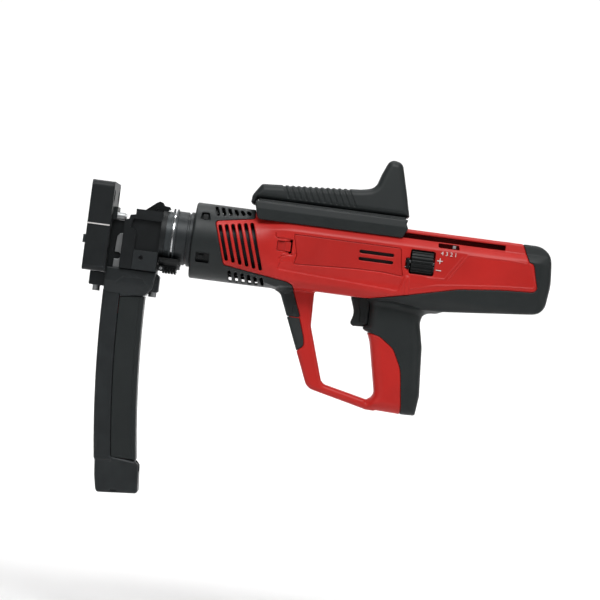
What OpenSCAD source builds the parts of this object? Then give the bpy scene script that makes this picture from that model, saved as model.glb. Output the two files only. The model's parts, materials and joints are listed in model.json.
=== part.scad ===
// Powder-actuated nail gun with a curved nail magazine, as separate pieces.
// Origin: on the drive axis, at the flat front face of the stop block.
// +X runs back along the drive axis, +Z is up, and -Y is the tool's left side. Millimetres.

/* [Body] */
// Outer radius of the round front sleeve
sleeve_r = 37; // [36.5:0.5:38]
// Front edge of the sleeve along the drive axis
sleeve_x0 = 101; // [100:0.5:102]
// Half width of the main body
body_half_w = 36.5; // [36:0.5:37.5]
// Height of the body's top ridge above the drive axis
body_top = 37; // [37:0.5:38]
// Wall thickness of the plastic shells
wall = 3; // [2.5:0.1:3.2]

/* [Grip and guard] */
// Half width of the hand grip
grip_half_w = 17; // [15:0.5:19]
// Half width of the trigger guard
guard_half_w = 12; // [11:0.5:13]
// Travel of the trigger
trigger_travel = 5.5; // [3:0.5:6]

/* [Nose] */
// Width and height of the square stop block
stop_size = 88; // [80:1:92]
// Depth of the stop block along the drive axis
stop_depth = 22; // [20:0.5:24]
// Radius of the muzzle bore that guides the fastener
muzzle_r = 4.2; // [4:0.1:4.6]
// Travel of the nose when it is pressed against the work
nose_travel = 7; // [4:0.5:7]

/* [Magazine] */
// Radius of the magazine's outer (front) arc
mag_r_outer = 1224; // [1200:1:1300]
// Front-to-back depth of the magazine body
mag_depth = 41; // [38:1:42]
// Half width of the magazine body
mag_half_w = 15; // [14:0.5:16]

/* [Charging handle] */
// Half width of the handle's skirt
skirt_half_w = 33.3; // [33.2:0.1:34]
// Half width of the ribbed hand rest
rest_half_w = 27; // [26:0.5:29]

/* [Hidden] */
$fn = 48;
cut = 0.1;          // overrun of a cutter past the face it cuts
gap = 0.3;          // clearance between a moving piece and its neighbour
far = 60;           // half width of a cutter that spans the whole tool

// ---- 2D outline helpers: corners are [x, z, corner radius], counter-clockwise ----
function unit(v) = v / norm(v);
function left_of(v) = [-v[1], v[0]];
function xy(p) = [p[0], p[1]];
function crossed(u, w) = u[0] * w[1] - u[1] * w[0];

// Points of one rounded corner b between its neighbours a and c
function corner(a, b, c) =
    let (u = unit(xy(b) - xy(a)), w = unit(xy(c) - xy(b)),
         s = sign(crossed(u, w)), turn = acos(max(-1, min(1, u * w))),
         steps = max(1, ceil(turn / 15)),
         back = b[2] * tan(turn / 2),
         centre = xy(b) - u * back + s * b[2] * left_of(u))
    b[2] < 0.05 || turn < 1 ? [xy(b)] :
    [for (k = [0:steps])
        let (t = s * turn * k / steps, d = -s * left_of(u) * b[2])
        centre + [d[0] * cos(t) - d[1] * sin(t), d[0] * sin(t) + d[1] * cos(t)]];

function rounded(p) =
    let (n = len(p))
    [for (i = [0:n - 1]) each corner(p[(i + n - 1) % n], p[i], p[(i + 1) % n])];

// Corners moved inwards by t, with their radii kept parallel
function inset(p, t) =
    let (n = len(p))
    [for (i = [0:n - 1])
        let (a = p[(i + n - 1) % n], b = p[i], c = p[(i + 1) % n],
             u = unit(xy(b) - xy(a)), w = unit(xy(c) - xy(b)),
             m = left_of(u), k = left_of(w), q = xy(b) + t * (m + k) / (1 + m * k))
        [q[0], q[1], max(0.01, b[2] - sign(crossed(u, w)) * t)]];

// Mirror image of an outline in Y, put after it, for a symmetric cross-section
function both_sides(half) =
    concat(half, [for (i = [len(half) - 1:-1:0]) [-half[i][0], half[i][1], half[i][2]]]);

// ---- 3D helpers ----
module side(y0, y1) { translate([0, y1, 0]) rotate([90, 0, 0]) linear_extrude(y1 - y0) children(); }
module outline(p, y0, y1) { side(y0, y1) polygon(rounded(p)); }
module section(x0, x1) { translate([x0, 0, 0]) rotate([90, 0, 90]) linear_extrude(x1 - x0) children(); }
module xcyl(x0, x1, r, y = 0, z = 0) { translate([x0, y, z]) rotate([0, 90, 0]) cylinder(h = x1 - x0, r = r); }
module ycyl(y0, y1, r, x = 0, z = 0) { translate([x, y0, z]) rotate([-90, 0, 0]) cylinder(h = y1 - y0, r = r); }
module zcyl(z0, z1, r, x = 0, y = 0) { translate([x, y, z0]) cylinder(h = z1 - z0, r = r); }
module box(lo, hi) { translate(lo) cube(hi - lo); }
module left_half() { box([-20, -far, -300], [500, 0, 200]); }
module right_half() { box([-20, 0, -300], [500, far, 200]); }
module tube(x0, x1, ro, ri, y = 0, z = 0) {
    difference() {
        xcyl(x0, x1, ro, y, z);
        xcyl(x0 - cut, x1 + cut, ri, y, z);
    }
}

// A coil spring drawn as touching rings, along X
module ring_spring(x0, x1, r, wire, pitch) {
    turns = floor((x1 - x0 - 2 * wire) / pitch);
    for (i = [0:turns])
        translate([x0 + wire + i * pitch, 0, 0]) rotate([0, 90, 0])
            rotate_extrude() translate([r, 0]) circle(r = wire, $fn = 24);
}

// Socket-head cap screw, head at the origin and shank along -Z
module cap_screw(head_r, head_h, shank_r, shank_l) {
    difference() {
        cylinder(h = head_h, r = head_r);
        translate([0, 0, head_h * 0.45]) cylinder(h = head_h, r = head_r * 0.5, $fn = 6);
    }
    translate([0, 0, -shank_l]) cylinder(h = shank_l + 0.01, r = shank_r);
}

// ---- outlines of the body ----
tail_x = 450;
body_outline = [
    [160, -34, 2], [200, -34, 0], [275, -34.6, 0], [300, -34.6, 0], [332, -39, 1], [345, -38.6, 4],
    [430, -30, 10], [446, -28, 14], [450, 2, 30], [446, 37, 18], [160, 37, 1]];
// Half of the body's cross-section, from the bottom up
body_half_section = [[22, -41, 8], [34, -27, 8], [body_half_w, -16, 6],
                     [body_half_w, 19, 3], [29.8, 27, 2], [28.8, body_top, 4]];
grip_outline = [
    [281, -26, 0], [281, -60, 0], [274, -63, 1], [281, -67, 1], [284, -76, 6], [294.5, -125, 6],
    [291, -132, 5], [291, -141, 0], [336.5, -142, 2], [338.5, -120, 8], [335, -75, 20],
    [330.5, -52, 10], [332, -40, 10], [345, -38.6, 3], [345, -26, 0]];
guard_outer = [
    [190, -36, 2], [229, -128, 12], [286, -141, 6], [294, -141, 0], [294, -126, 5],
    [289, -132, 4], [243, -122, 7], [225.5, -68, 4], [224.5, -33, 0], [196, -28.5, 0]];
// Boundary of the black sleeve zone on the body
sleeve_zone = [
    [sleeve_x0, -sleeve_r, 0], [200, -sleeve_r, 0], [200, -29, 0], [134, -20.5, 2.5], [122, 21.5, 2],
    [157.5, 27.5, 1.5], [158.5, sleeve_r + 1, 0], [sleeve_x0, sleeve_r + 1, 0]];
// Boundary of the black rear and grip zone
grip_zone = [
    [275, -34.4, 0], [310, -27, 20], [365, -14, 20], [400, -10, 20], [437, -7.6, 4], [430.5, 19, 4],
    [425.5, 19.5, 1], [417.5, 38, 0], [460, 38, 0], [460, -150, 0], [322, -150, 0], [321.5, -135, 10],
    [317, -98, 20], [308, -79, 14], [294, -69.5, 10], [280, -66.8, 0], [270, -66.8, 0], [270, -35.2, 0]];
strip_zone = [
    [184, -37.2, 0], [188, -45, 0], [199.5, -62, 0], [214.5, -62, 0], [202.2, -31.5, 3], [196, -28.9, 0],
    [196, -33, 0], [184, -33, 0]];
pad_zone = [[200, -62.3, 0], [212, -97, 0], [221.5, -88, 5], [219.5, -80, 4], [213, -62.3, 1]];

vent_count = 6;
vent_pitch = 6.1;
window_x = [311.5, 335];
window_z = [-5.3, 18.3];
slot_z = [28.5, 33];
slot_x = [166, 401];
skin = 1.6;         // depth of the black overmould over the red wall
spindle_y = -21.5;
spindle_z = 6.5;
channel_x = [212.5, 224.5];

module body_section(t) {
    polygon(rounded(inset(both_sides(body_half_section), t)));
}

// The body as a solid, pulled in by t on every side
module body_solid(t) {
    intersection() {
        outline(inset(body_outline, t), -far, far);
        section(150, 460) body_section(t);
    }
}

// Tube wall round the drive axis, flush with the sleeve
module sleeve_wall(x1) { tube(sleeve_x0, x1, sleeve_r, sleeve_r - wall); }

module guard_ring() {
    difference() {
        outline(guard_outer, -guard_half_w, guard_half_w);
        box([channel_x[0], -5.5, -66], [232, 5.5, -30]);
    }
}

module grip_solid(t) {
    outline(inset(grip_outline, t), -grip_half_w + t, grip_half_w - t);
}

module vents() {
    for (i = [0:vent_count - 1]) {
        lean = 0.28;
        x = 126.5 + i * vent_pitch;
        top = 17.5 + i * 1.1;
        low = -15 - i * 1.15;
        for (y = [-1, 1]) side(y > 0 ? 20 : -far, y > 0 ? far : -20)
            polygon([[x - 1.5, top], [x + (top - low) * lean - 2, low],
                     [x + (top - low) * lean + 1.5, low], [x + 2, top]]);
    }
}

module panel_slits() {
    for (z = [2.6, 9.6]) box([262, -far, z - 1.3], [296, far, z + 1.3]);
}

// Space that the trigger and its bar need inside the body
module trigger_space() {
    box([258, -6.6, -37], [292, 6.6, -20]);
    box([258, -6.6, -62.8], [285.9, 6.6, -30]);
}

module outer_solid(t) {
    body_solid(t);
    grip_solid(t);
}
// Walls across the cavity that carry the cylinder, the breech and the spring
module ribs() {
    for (r = [[178, 182, 28.76], [230, 234, 20.06], [298, 302, 15.06], [395, 401, 20.06]]) difference() {
        box([r[0], -far, -32], [r[1], far, 27.5]);
        xcyl(r[0] - 1, r[1] + 1, r[2]);
    }
    // backing wall of the trigger spring
    box([286, -grip_half_w + 1, -62], [289, grip_half_w - 1, -33]);
    // bearings of the regulator spindle
    for (x = [308.2, 360]) difference() {
        union() {
            xcyl(x, x + 4, 5, spindle_y, spindle_z);
            box([x, -34.5, 9.4], [x + 4, spindle_y, 13.5]);
        }
        xcyl(x - 1, x + 5, 2.95, spindle_y, spindle_z);
    }
}
// Places of the housing screws: x, z and the y of the screw head's seat
screw_places = [[240, -26.5, 26], [372, 21, 27], [422, -17, 26], [422, 22, 25],
                [322, -112, 12], [300, -78, 12], [226, -100, 8], [311, -136, 11.5]];
module bosses() {
    for (p = screw_places) ycyl(-far, far, 4.6, p[0], p[1]);
}
module housing_shell() {
    difference() {
        union() {
            difference() {
                outer_solid(0);
                outline(grip_zone, -far, far);
            }
            outer_solid(skin);
            guard_ring();
            intersection() {
                sleeve_wall(165);
                box([118, -far, -far], [160, far, far]);
            }
        }
        difference() {
            outer_solid(wall);
            ribs();
            bosses();
        }
        outline(sleeve_zone, -far, far);
        outline(strip_zone, -far, far);
        outline(pad_zone, -far, far);
        vents();
        xcyl(150, 164, sleeve_r - wall);
        // through slots for the cocking carriage, and the cartridge strip's way up
        box([slot_x[0], -far, slot_z[0]], [slot_x[1], far, slot_z[1]]);
        box([channel_x[0], -5.5, -67], [channel_x[1], 5.5, 50]);
        // regulator wheel, lock and scale windows on the left side
        box([window_x[0], -far, window_z[0]], [window_x[1], -28, window_z[1]]);
        box([308.5, -far, -1], [311.6, -29, 9]);
        box([337, -far, 23], [358, -20, 27]);
        trigger_space();
        panel_recess();
    }
}

// Recess on each side that takes a side panel
panel_outline = [[199, -18.5, 2], [304, -18.5, 2], [308, -8, 2], [304, 2, 1], [302, 17.5, 3], [198, 17.5, 1],
                 [203, -2.5, 0.5]];
module panel_recess() {
    for (s = [-1, 1])
        outline(panel_outline, s > 0 ? body_half_w - 4.5 : -far, s > 0 ? far : -body_half_w + 4.5);
    for (s = [-1, 1])
        box([183, s > 0 ? 30 : -far, 0], [196.5, s > 0 ? far : -30, 9.5]);
}

module side_panel(s) {
    outer = body_half_w - 1.6;
    inner = body_half_w - 4.4;
    difference() {
        outline(inset(panel_outline, 0.1), s > 0 ? inner : -outer, s > 0 ? outer : -inner);
        panel_slits();
    }
}

module release_button(s) {
    difference() {
        box([183.3, s > 0 ? 31.9 : -35.4, 0.3], [196.2, s > 0 ? 35.4 : -31.9, 9.2]);
        // finger scoop
        translate([186, s * 42.6, 4.8]) zcyl(-8, 8, 9);
    }
}

module housing_left() {
    color("#c8282a") difference() {
        intersection() { housing_shell(); left_half(); }
        for (p = screw_places) ycyl(-p[2] + 2, 1, 1.6, p[0], p[1]);
    }
}
module housing_right() {
    color("#c8282a") difference() {
        intersection() { housing_shell(); right_half(); }
        for (p = screw_places) {
            ycyl(-1, p[2] + 1, 1.8, p[0], p[1]);
            ycyl(p[2], far, 3.4, p[0], p[1]);
        }
    }
}

module housing_screws() {
    color("#8d9094") for (p = screw_places)
        translate([p[0], p[2], p[1]]) rotate([-90, 0, 0]) cap_screw(3.1, 2.6, 1.6, 2 * p[2] - 2.5);
}

// Soft overmould: the black zone, one skin deep
module grip_cover(lo, hi) {
    color("#262b2b") difference() {
        intersection() {
            outer_solid(0);
            outline(inset(grip_zone, -0.06), lo, hi);
        }
        outer_solid(skin - 0.04);
        trigger_space();
        for (p = screw_places) ycyl(1, far, 3.4, p[0], p[1]);
    }
}

// Round vents and slots of the sleeve
module sleeve_vents() {
    for (i = [0:vent_count - 1]) {
        side(-far, far) translate([121.5 + i * 6.2, 30.5 + i * 0.4]) rotate(15)
            square([3, 10 - i * 0.8], center = true);
        side(-far, far) translate([141.5 + i * 6.3, -31]) rotate(15) square([3.4, 7 - i * 0.5], center = true);
    }
    for (s = [-1, 1]) {
        side(s > 0 ? 5 : -far, s > 0 ? far : -5)
            polygon([[107, 20.5], [116, 20.5], [114.5, 27], [108, 27]]);
        box([107, s > 0 ? 20 : -far, -21], [119, s > 0 ? far : -20, -12]);
    }
}
module front_sleeve() {
    color("#262b2b") difference() {
        intersection() {
            union() {
                sleeve_wall(188);
                difference() {
                    intersection() { body_solid(0); box([158, -far, -far], [200, far, far]); }
                    body_solid(wall);
                }
            }
            outline(inset(sleeve_zone, 0.02), -far, far);
        }
        sleeve_vents();
        xcyl(157, 164, sleeve_r - wall);
        outline(strip_zone, -far, far);
        box([189, -guard_half_w, -50], [205, guard_half_w, -20]);
    }
}

// Ring with snap lugs that sit in the sleeve's four windows
module sleeve_retainer() {
    color("#1c2020") {
        tube(104, 122, 33.8, 31);
        intersection() {
            tube(109, 114, 36, 33);
            union() {
                box([100, -far, 21], [120, far, 26]);
                box([100, -far, -17.5], [120, far, -14]);
            }
        }
    }
}

module guard_strip() {
    color("#262b2b") intersection() {
        outline(inset(strip_zone, 0.02), -guard_half_w - 1, guard_half_w + 1);
        difference() {
            outline([[186, -28, 0], [191, -40, 1], [226, -122, 5], [240, -122, 0], [224, -28, 0]],
                    -guard_half_w, guard_half_w);
            box([channel_x[0], -5.5, -67], [232, 5.5, -30]);
        }
    }
}
module guard_pad() {
    color("#1b1f1f") intersection() {
        outline(inset(pad_zone, 0.05), -guard_half_w, guard_half_w);
        difference() {
            outline(guard_outer, -guard_half_w, guard_half_w);
            box([channel_x[0], -5.5, -67], [232, 5.5, -30]);
        }
    }
}

// ---- fixed mechanism in the housing ----
cylinder_bore = 25.56;
module guide_cylinder() { color("#9a9da0") tube(108, 189.8, 28.7, cylinder_bore); }
module chamber_block() {
    color("#6f7478") difference() {
        union() {
            xcyl(190, 228, 24);
            box([209, -8, -30.9], [228, 8, 27.5]);
        }
        xcyl(189, channel_x[0] + cut, 5);
        box([channel_x[0], -5.5, -40], [channel_x[1], 5.5, 40]);
        xcyl(channel_x[1] - cut, 229, 3);
    }
}
module breech_block() {
    color("#5c6165") difference() {
        xcyl(228, 246, 20);
        xcyl(227, 247, 2.6);
    }
}
module firing_tube() {
    color("#8b8f92") difference() {
        union() {
            xcyl(246, 308, 15);
            box([275, -7, -21.5], [291, 7, -10]);
        }
        xcyl(245.9, 304, 11);
        box([279.7, -2.9, -23], [286.3, 2.9, -5]);
    }
}
// Guide rod of the recoil spring, with its collar
module recoil_rod() {
    color("#a5a8aa") {
        xcyl(308, 405, 4);
        xcyl(335, 338, 13);
    }
}
module recoil_spring() { color("#b9bcbe") ring_spring(338, 391, 11, 1.6, 5.6); }
module recoil_buffer() {
    color("#202222") difference() {
        union() {
            xcyl(391, 412, 20);
            xcyl(386, 391.01, 8);
        }
        xcyl(385, 405, 4.06);
    }
}
module regulator_spindle() {
    color("#a5a8aa") {
        xcyl(308.2, 364.2, 2.8, spindle_y, spindle_z);
        xcyl(364.1, 366, 4, spindle_y, spindle_z);
    }
}

// ---- nose ----
bush_r = 7;
module stop_block() {
    h = stop_size / 2;
    color("#24292a") difference() {
        section(0, stop_depth) polygon(rounded(
            [[-h, -42, 6], [h, -42, 6], [h, stop_size - 43, 6], [-h, stop_size - 43, 6]]));
        xcyl(-1, stop_depth + 1, bush_r + 0.03);
        // pocket of the contact probe, open at the front
        box([-1, -4.3, -16.4], [16, 4.3, -7.7]);
        // lightening pockets in the back face
        for (y = [-31, 31], z = [-24, 8, 31]) xcyl(10, stop_depth + 1, 7, y, z);
        for (y = [-14, 14]) xcyl(14, stop_depth + 1, 2.54, y, 13.5);
        zcyl(-43, -34, 2, 13.5);
    }
}
module muzzle_bush() {
    color("#b4b7b9") difference() {
        xcyl(0, stop_depth + 4, bush_r);
        xcyl(-1, stop_depth + 5, muzzle_r);
    }
}
module contact_probe() {
    color("#2b3031") {
        box([-5.3, -4, -16.1], [6, 4, -8]);
        xcyl(6, 10, 1.8, 0, -12);
    }
}
module probe_spring() { color("#b9bcbe") translate([0, 0, -12]) ring_spring(6.2, 15.8, 2.5, 0.4, 1.7); }
module nose_neck() {
    color("#191c1c") difference() {
        union() {
            box([stop_depth, -13, -36], [34, 13, 9.5]);
            box([stop_depth, -19, 9.5], [26, 19, 22]);
        }
        xcyl(stop_depth - 1, stop_depth + 4, bush_r + 0.03);
        xcyl(stop_depth, 35, 6);
        for (y = [-14, 14]) xcyl(stop_depth - 1, 27, 2.54, y, 13.5);
        // way up for the nails
        box([27, -8.5, -37], [35, 8.5, 0]);
    }
}
module guide_plates() {
    color("#9c9fa1") for (s = [-1, 1]) difference() {
        outline([[27.5, -36, 0], [37.5, -36, 0], [37.5, -19.5, 0], [33.8, -18.5, 0], [33.8, -2.5, 0], [31, -3, 0],
                 [28.5, -6, 0], [28, -12, 0]], s > 0 ? 13.1 : -15.1, s > 0 ? 15.1 : -13.1);
        ycyl(-far, far, 3.4, 30.5, -24.5);
        box([26, -far, -27.9], [30.5, far, -21.1]);
    }
}
module stop_bolts() {
    color("#a9acad") for (y = [-14, 14]) difference() {
        union() {
            xcyl(26, 33.5, 3.6, y, 13.5);
            xcyl(15, 26.01, 2.5, y, 13.5);
        }
        translate([30, y, 13.5]) rotate([0, 90, 0]) cylinder(h = 5, r = 1.8, $fn = 6);
    }
}

head_half_w = 22;
module magazine_head() {
    color("#1d2121") difference() {
        union() {
            outline([[34, -36, 0], [70, -36, 0], [70, 22.5, 0], [44, 22.5, 0], [44, 17, 0], [39, 16, 0],
                     [38, 12, 0], [34, 11, 0]], -head_half_w, head_half_w);
            difference() {
                xcyl(69.9, 74.5, 26);
                box([69, -far, -50], [75, far, -23.5]);
            }
            // lugs of the latch pin
            for (s = [-1, 1]) box([69.9, s > 0 ? 12.3 : -15.5, -34], [77, s > 0 ? 15.5 : -12.3, -29]);
        }
        ycyl(-far, far, 1.5, latch_x, latch_z);
        // pockets for the lids
        for (s = [-1, 1]) box([46, s > 0 ? head_half_w - 3 : -far, -37], [69.8, s > 0 ? far : 3 - head_half_w, -17]);
        for (s = [-1, 1]) ycyl(s > 0 ? 13 : -20, s > 0 ? 20 : -13, 1.2, 54, -24);
        xcyl(61, 75, 11.9);
        xcyl(33, 62, 6);
        // nail feed shaft from below
        box([33, -8.5, -37], [62, 8.5, 1]);
        // sunken flanks above the lids
        for (s = [-1, 1])
            outline([[46.5, -16.9, 0], [69, -16.9, 0], [69, 13, 1], [42, 13, 1], [40.5, 4, 0.5], [43, 3.5, 0], [46.5, 0, 0]],
                    s > 0 ? head_half_w - 4 : -far, s > 0 ? far : 4 - head_half_w);
        // sockets of the guide plates
        for (s = [-1, 1]) box([33, s > 0 ? 13 : -15.2, -37], [37.7, s > 0 ? 15.2 : -13, -2]);
        // sighting step and wedge slot
        box([52, -9, 14.5], [70.1, 9, 23]);
        box([69, -9, 22.4], [75, 9, 27]);
        zcyl(-37, -28, 2, 68.5);
    }
}
module sight_wedge() {
    color("#23282a") difference() {
        outline([[52.1, 14.6, 0], [69.9, 14.6, 0], [69.9, 22.6, 0], [76, 26.3, 0], [75, 28.4, 0.5], [69.5, 29, 1],
                 [68, 31.8, 1], [65, 32.6, 1], [62, 31, 1], [52.1, 22.8, 0]], -8.9, 8.9);
        ycyl(-far, far, 1.8, 64, 24.4);
    }
}
module head_lids() {
    color("#2a3031") for (s = [-1, 1]) difference() {
        box([46.2, s > 0 ? head_half_w - 3 : -head_half_w - 1.2, -35.6], [69.6, s > 0 ? head_half_w + 1.2 : 3 - head_half_w, -17.2]);
        ycyl(-far, far, 2.2, 54, -24);
    }
}
module head_screws() {
    color("#3a3f40") for (s = [-1, 1])
        translate([54, s * (head_half_w - 3), -24]) rotate([-90 * s, 0, 0]) cap_screw(2.1, 2.6, 1.2, 5);
}
module lock_rings() {
    color("#2c3132") {
        tube(74.6, 79.5, 24.5, 21);
        tube(79.6, 80.8, 27.8, 21);
        tube(83.0, 84.6, 27.6, 21);
    }
}
module chrome_ring() { color("#e2e4e6") tube(80.85, 82.95, 25.4, 21); }
module guide_sleeve() {
    color("#33383a") {
        difference() {
            union() {
                xcyl(84.7, 95, 26);
                xcyl(95, 97, 24.8);
                xcyl(97, 100.2, 26.6);
                xcyl(100.2, 124, 25.5);
            }
            xcyl(84, 125, 21);
        }
    }
}
module barrel() {
    color("#8e9193") difference() {
        union() {
            xcyl(62.2, 74.6, 11.86);
            xcyl(74.6, 180, 20.96);
        }
        xcyl(60, 97, muzzle_r);
        xcyl(96, 181, 14.1);
    }
}
module piston_buffer() { color("#2a2624") tube(96.1, 105.5, 14, 5); }
module piston() {
    color("#c9cbcc") {
        difference() {
            xcyl(167, 179, 14.02);
            for (x = [169.5, 174]) tube(x, x + 2, 14.5, 12.4);
        }
        xcyl(62.5, 167.01, 4.12);
    }
}
module piston_rings() { color("#6b6e70") for (x = [169.55, 174.05]) tube(x, x + 1.9, 14.04, 12.45); }

// ---- magazine ----
mag_cx = 21 + mag_r_outer;
mag_cz = -50;
mag_r_inner = mag_r_outer - mag_depth;
// Point on the magazine at radius r and height z
function mag_x(r, z) = mag_cx - sqrt(r * r - (z - mag_cz) * (z - mag_cz));
function mag_arc(r, z0, z1, n = 10) = [for (i = [0:n]) let (z = z0 + (z1 - z0) * i / n) [mag_x(r, z), z]];
module mag_band(r0, r1, z0, z1, y0, y1) {
    side(y0, y1) polygon(concat(mag_arc(r1, z1, z0), mag_arc(r0, z0, z1)));
}
spine_r = mag_r_outer - 17;
door_z = [-219, -60];
base_z = -220;
module magazine_case() {
    w = mag_half_w;
    color("#2c3233") difference() {
        union() {
            // front spine, open towards the back
            mag_band(spine_r + 0.3, mag_r_outer, -222, -58, -w, w);
            // base block with the flared pull
            outline([[mag_x(mag_r_outer, -254), -254.5, 2], [80, -251, 2], [77.5, -224, 2], [74, -220.2, 0.5],
                     [mag_x(mag_r_outer, -220.2), -220.2, 0]], -w, w);
        }
        mag_band(spine_r - 5, mag_r_outer - 2.5, -240, -50, -w + 3, w - 3);
        box([66, -w + 3.4, -233], [90, w - 3.4, -219]);
        ycyl(-w + 0.6, w - 0.6, 1.5, hinge_x, hinge_z);
        side(-far, far) translate([56, -250.5]) square([6, 1.6], center = true);
    }
}
// Hinge of the magazine's door, and the arc that its top edge swings on
hinge_x = 72.5;
hinge_z = -226;
door_swing_r = 165.7;
module magazine_collar() {
    color("#282e2f") difference() {
        union() {
            outline([[22, -36, 0], [22, -58, 0], [27, -60, 0], [62, -60, 0], [68, -52, 1], [70, -36, 0]], -19, 19);
            // lip that closes the gap above the swinging door
            mag_band(mag_r_inner, spine_r, -66, -58, -mag_half_w, mag_half_w);
            // ears that carry the clamping screws
            box([6, -8, -55.6], [22.01, 8, -42]);
            box([62, -8, -55.6], [74, 8, -38]);
        }
        mag_band(mag_r_inner + 2, mag_r_outer - 2.5, -67, -45, -12, 12);
        box([27, -8.5, -46], [62, 8.5, -35]);
        mag_band(spine_r + 0.3, mag_r_outer + 1, -61, -58, -15, 15);
        ycyl(-far, far, door_swing_r + 0.4, hinge_x, hinge_z);
        zcyl(-56, -41, 2.1, 13.5);
        zcyl(-56, -35, 2.1, 68.5);
        zcyl(-61, -55.6, 4.3, 68.5);
    }
}
module magazine_screws() {
    color("#b9bbbc") {
        translate([13.5, 0, -55.6]) rotate([180, 0, 0]) cap_screw(3.6, 5.4, 2, 21);
        translate([68.5, 0, -55.6]) rotate([180, 0, 0]) cap_screw(4, 4.8, 2, 26);
    }
}
door_half = mag_half_w - 3.7;
module magazine_door() {
    w = mag_half_w - 1.2;
    color("#1f2424") difference() {
        union() {
            difference() {
                mag_band(mag_r_inner, spine_r, door_z[0], door_z[1], -w, w);
                mag_band(mag_r_inner + 2.2, spine_r + 1, door_z[0] - 1, door_z[1] + 1, -w + 2, w - 2);
                difference() {
                    box([20, -far, -90], [90, far, -50]);
                    ycyl(-far - 1, far + 1, door_swing_r, hinge_x, hinge_z);
                }
            }
            // hinge knuckle
            difference() {
                union() {
                    ycyl(-door_half, door_half, 4, hinge_x, hinge_z);
                    box([68.6, -door_half, -226], [73.6, door_half, -216]);
                }
            }
        }
        ycyl(-far, far, 1.56, hinge_x, hinge_z);
    }
}
module door_hinge_pin() { color("#c4c6c8") ycyl(-mag_half_w + 0.6, mag_half_w - 0.6, 1.5, hinge_x, hinge_z); }
module nail_follower() {
    color("#b23a2e") difference() {
        mag_band(mag_r_inner + 4, mag_r_outer - 3.2, -80, -62, -9, 9);
        // pocket of the coiled spring
        ycyl(-5.4, 5.4, 6.6, mag_x(mag_r_outer - 12, -71), -71);
        box([mag_x(mag_r_outer, -71), -5.4, -72.5], [mag_x(mag_r_outer - 12, -71), 5.4, -69.5]);
    }
}
module follower_spring() {
    // constant-force strip wound on its drum inside the follower
    color("#b9bcbe") translate([mag_x(mag_r_outer - 12, -71), 0, -71]) {
        ycyl(-5.2, 5.2, 6.4);
    }
}

latch_x = 74;
latch_z = -31.4;
module magazine_latch() {
    color("#171a1a") difference() {
        union() {
            // band that hugs the rings from below
            intersection() {
                tube(71.2, 91.5, 31.2, 28.4);
                union() {
                    box([77.4, -far, -50], [95, far, -21]);
                    box([70, -11.8, -50], [78, 11.8, -21]);
                    box([70, -far, -28.2], [78, far, -21]);
                }
            }
            // ribbed thumb piece
            box([75, -11.8, -33.6], [88.6, 11.8, -28.5]);
            for (i = [0:4]) outline([[75.4 + i * 2.8, -33, 0], [75.9 + i * 2.8, -36, 0], [77.1 + i * 2.8, -36, 0],
                                     [77.8 + i * 2.8, -33, 0]], -11.8, 11.8);
            ycyl(-11.8, 11.8, 2.9, latch_x, latch_z);
        }
        ycyl(-far, far, 1.56, latch_x, latch_z);
        // grooves beside the ribs
        for (s = [-1, 1], i = [0:3])
            box([77.3 + i * 2.8, s > 0 ? 10.8 : -12, -34], [78.3 + i * 2.8, s > 0 ? 12 : -10.8, -29.8]);
    }
}
module latch_pin() {
    color("#c4c6c8") ycyl(-15.5, 15.5, 1.5, latch_x, latch_z);
}

// ---- trigger group ----
module trigger() {
    color("#141717") difference() {
        outline([[265, -62.6, 1.5], [275, -62.2, 0.5], [280, -60, 0], [280, -30, 0], [260.5, -30, 0],
                 [260.5, -36, 2], [265.5, -50, 12], [263, -60, 3]], -6, 6);
        // hollow back for the return spring
        xcyl(268, 281, 3.6, 0, -48);
    }
}
pin_x = 283;        // pin of the sear, and its slanted slot in the trigger bar
pin_z = -25.5;
sear_drop = 3;
module trigger_bar() {
    way = [-trigger_travel, -sear_drop];
    n = 1.3 * unit(left_of(way));
    pin = [pin_x, pin_z];
    color("#9a9da0") difference() {
        union() {
            box([264, -5, -30], [273.5, 5, -27.5]);
            box([264, 3.2, -30], [289, 5, -21.8]);
        }
        // slanted slot that draws the sear's pin down
        for (k = [0, 1]) ycyl(2, 6, 1.3, pin_x + k * way[0], pin_z + k * way[1]);
        side(2, 6) polygon([pin + n, pin - n, pin + way - n, pin + way + n]);
    }
}
module trigger_spring() { color("#b9bcbe") translate([0, 0, -48]) ring_spring(268.2, 285.9, 2.9, 0.5, 2.6); }
module sear() {
    color("#7c8083") {
        box([280, -2.6, -26.8], [286, 2.6, -11.3]);
        ycyl(-2.5, 5, 1, pin_x, pin_z);
    }
}
module firing_pin() {
    color("#c9cbcc") difference() {
        union() {
            xcyl(225.2, 249, 2.5);
            xcyl(249, 289, 10.92);
        }
        xcyl(262, 290, 7.5);
        // groove that the sear drops into when the pin is cocked
        tube(267.5, 274.5, 12, 9);
    }
}
module firing_spring() { color("#b9bcbe") ring_spring(262.1, 303.9, 5.6, 1.1, 3.7); }

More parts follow.
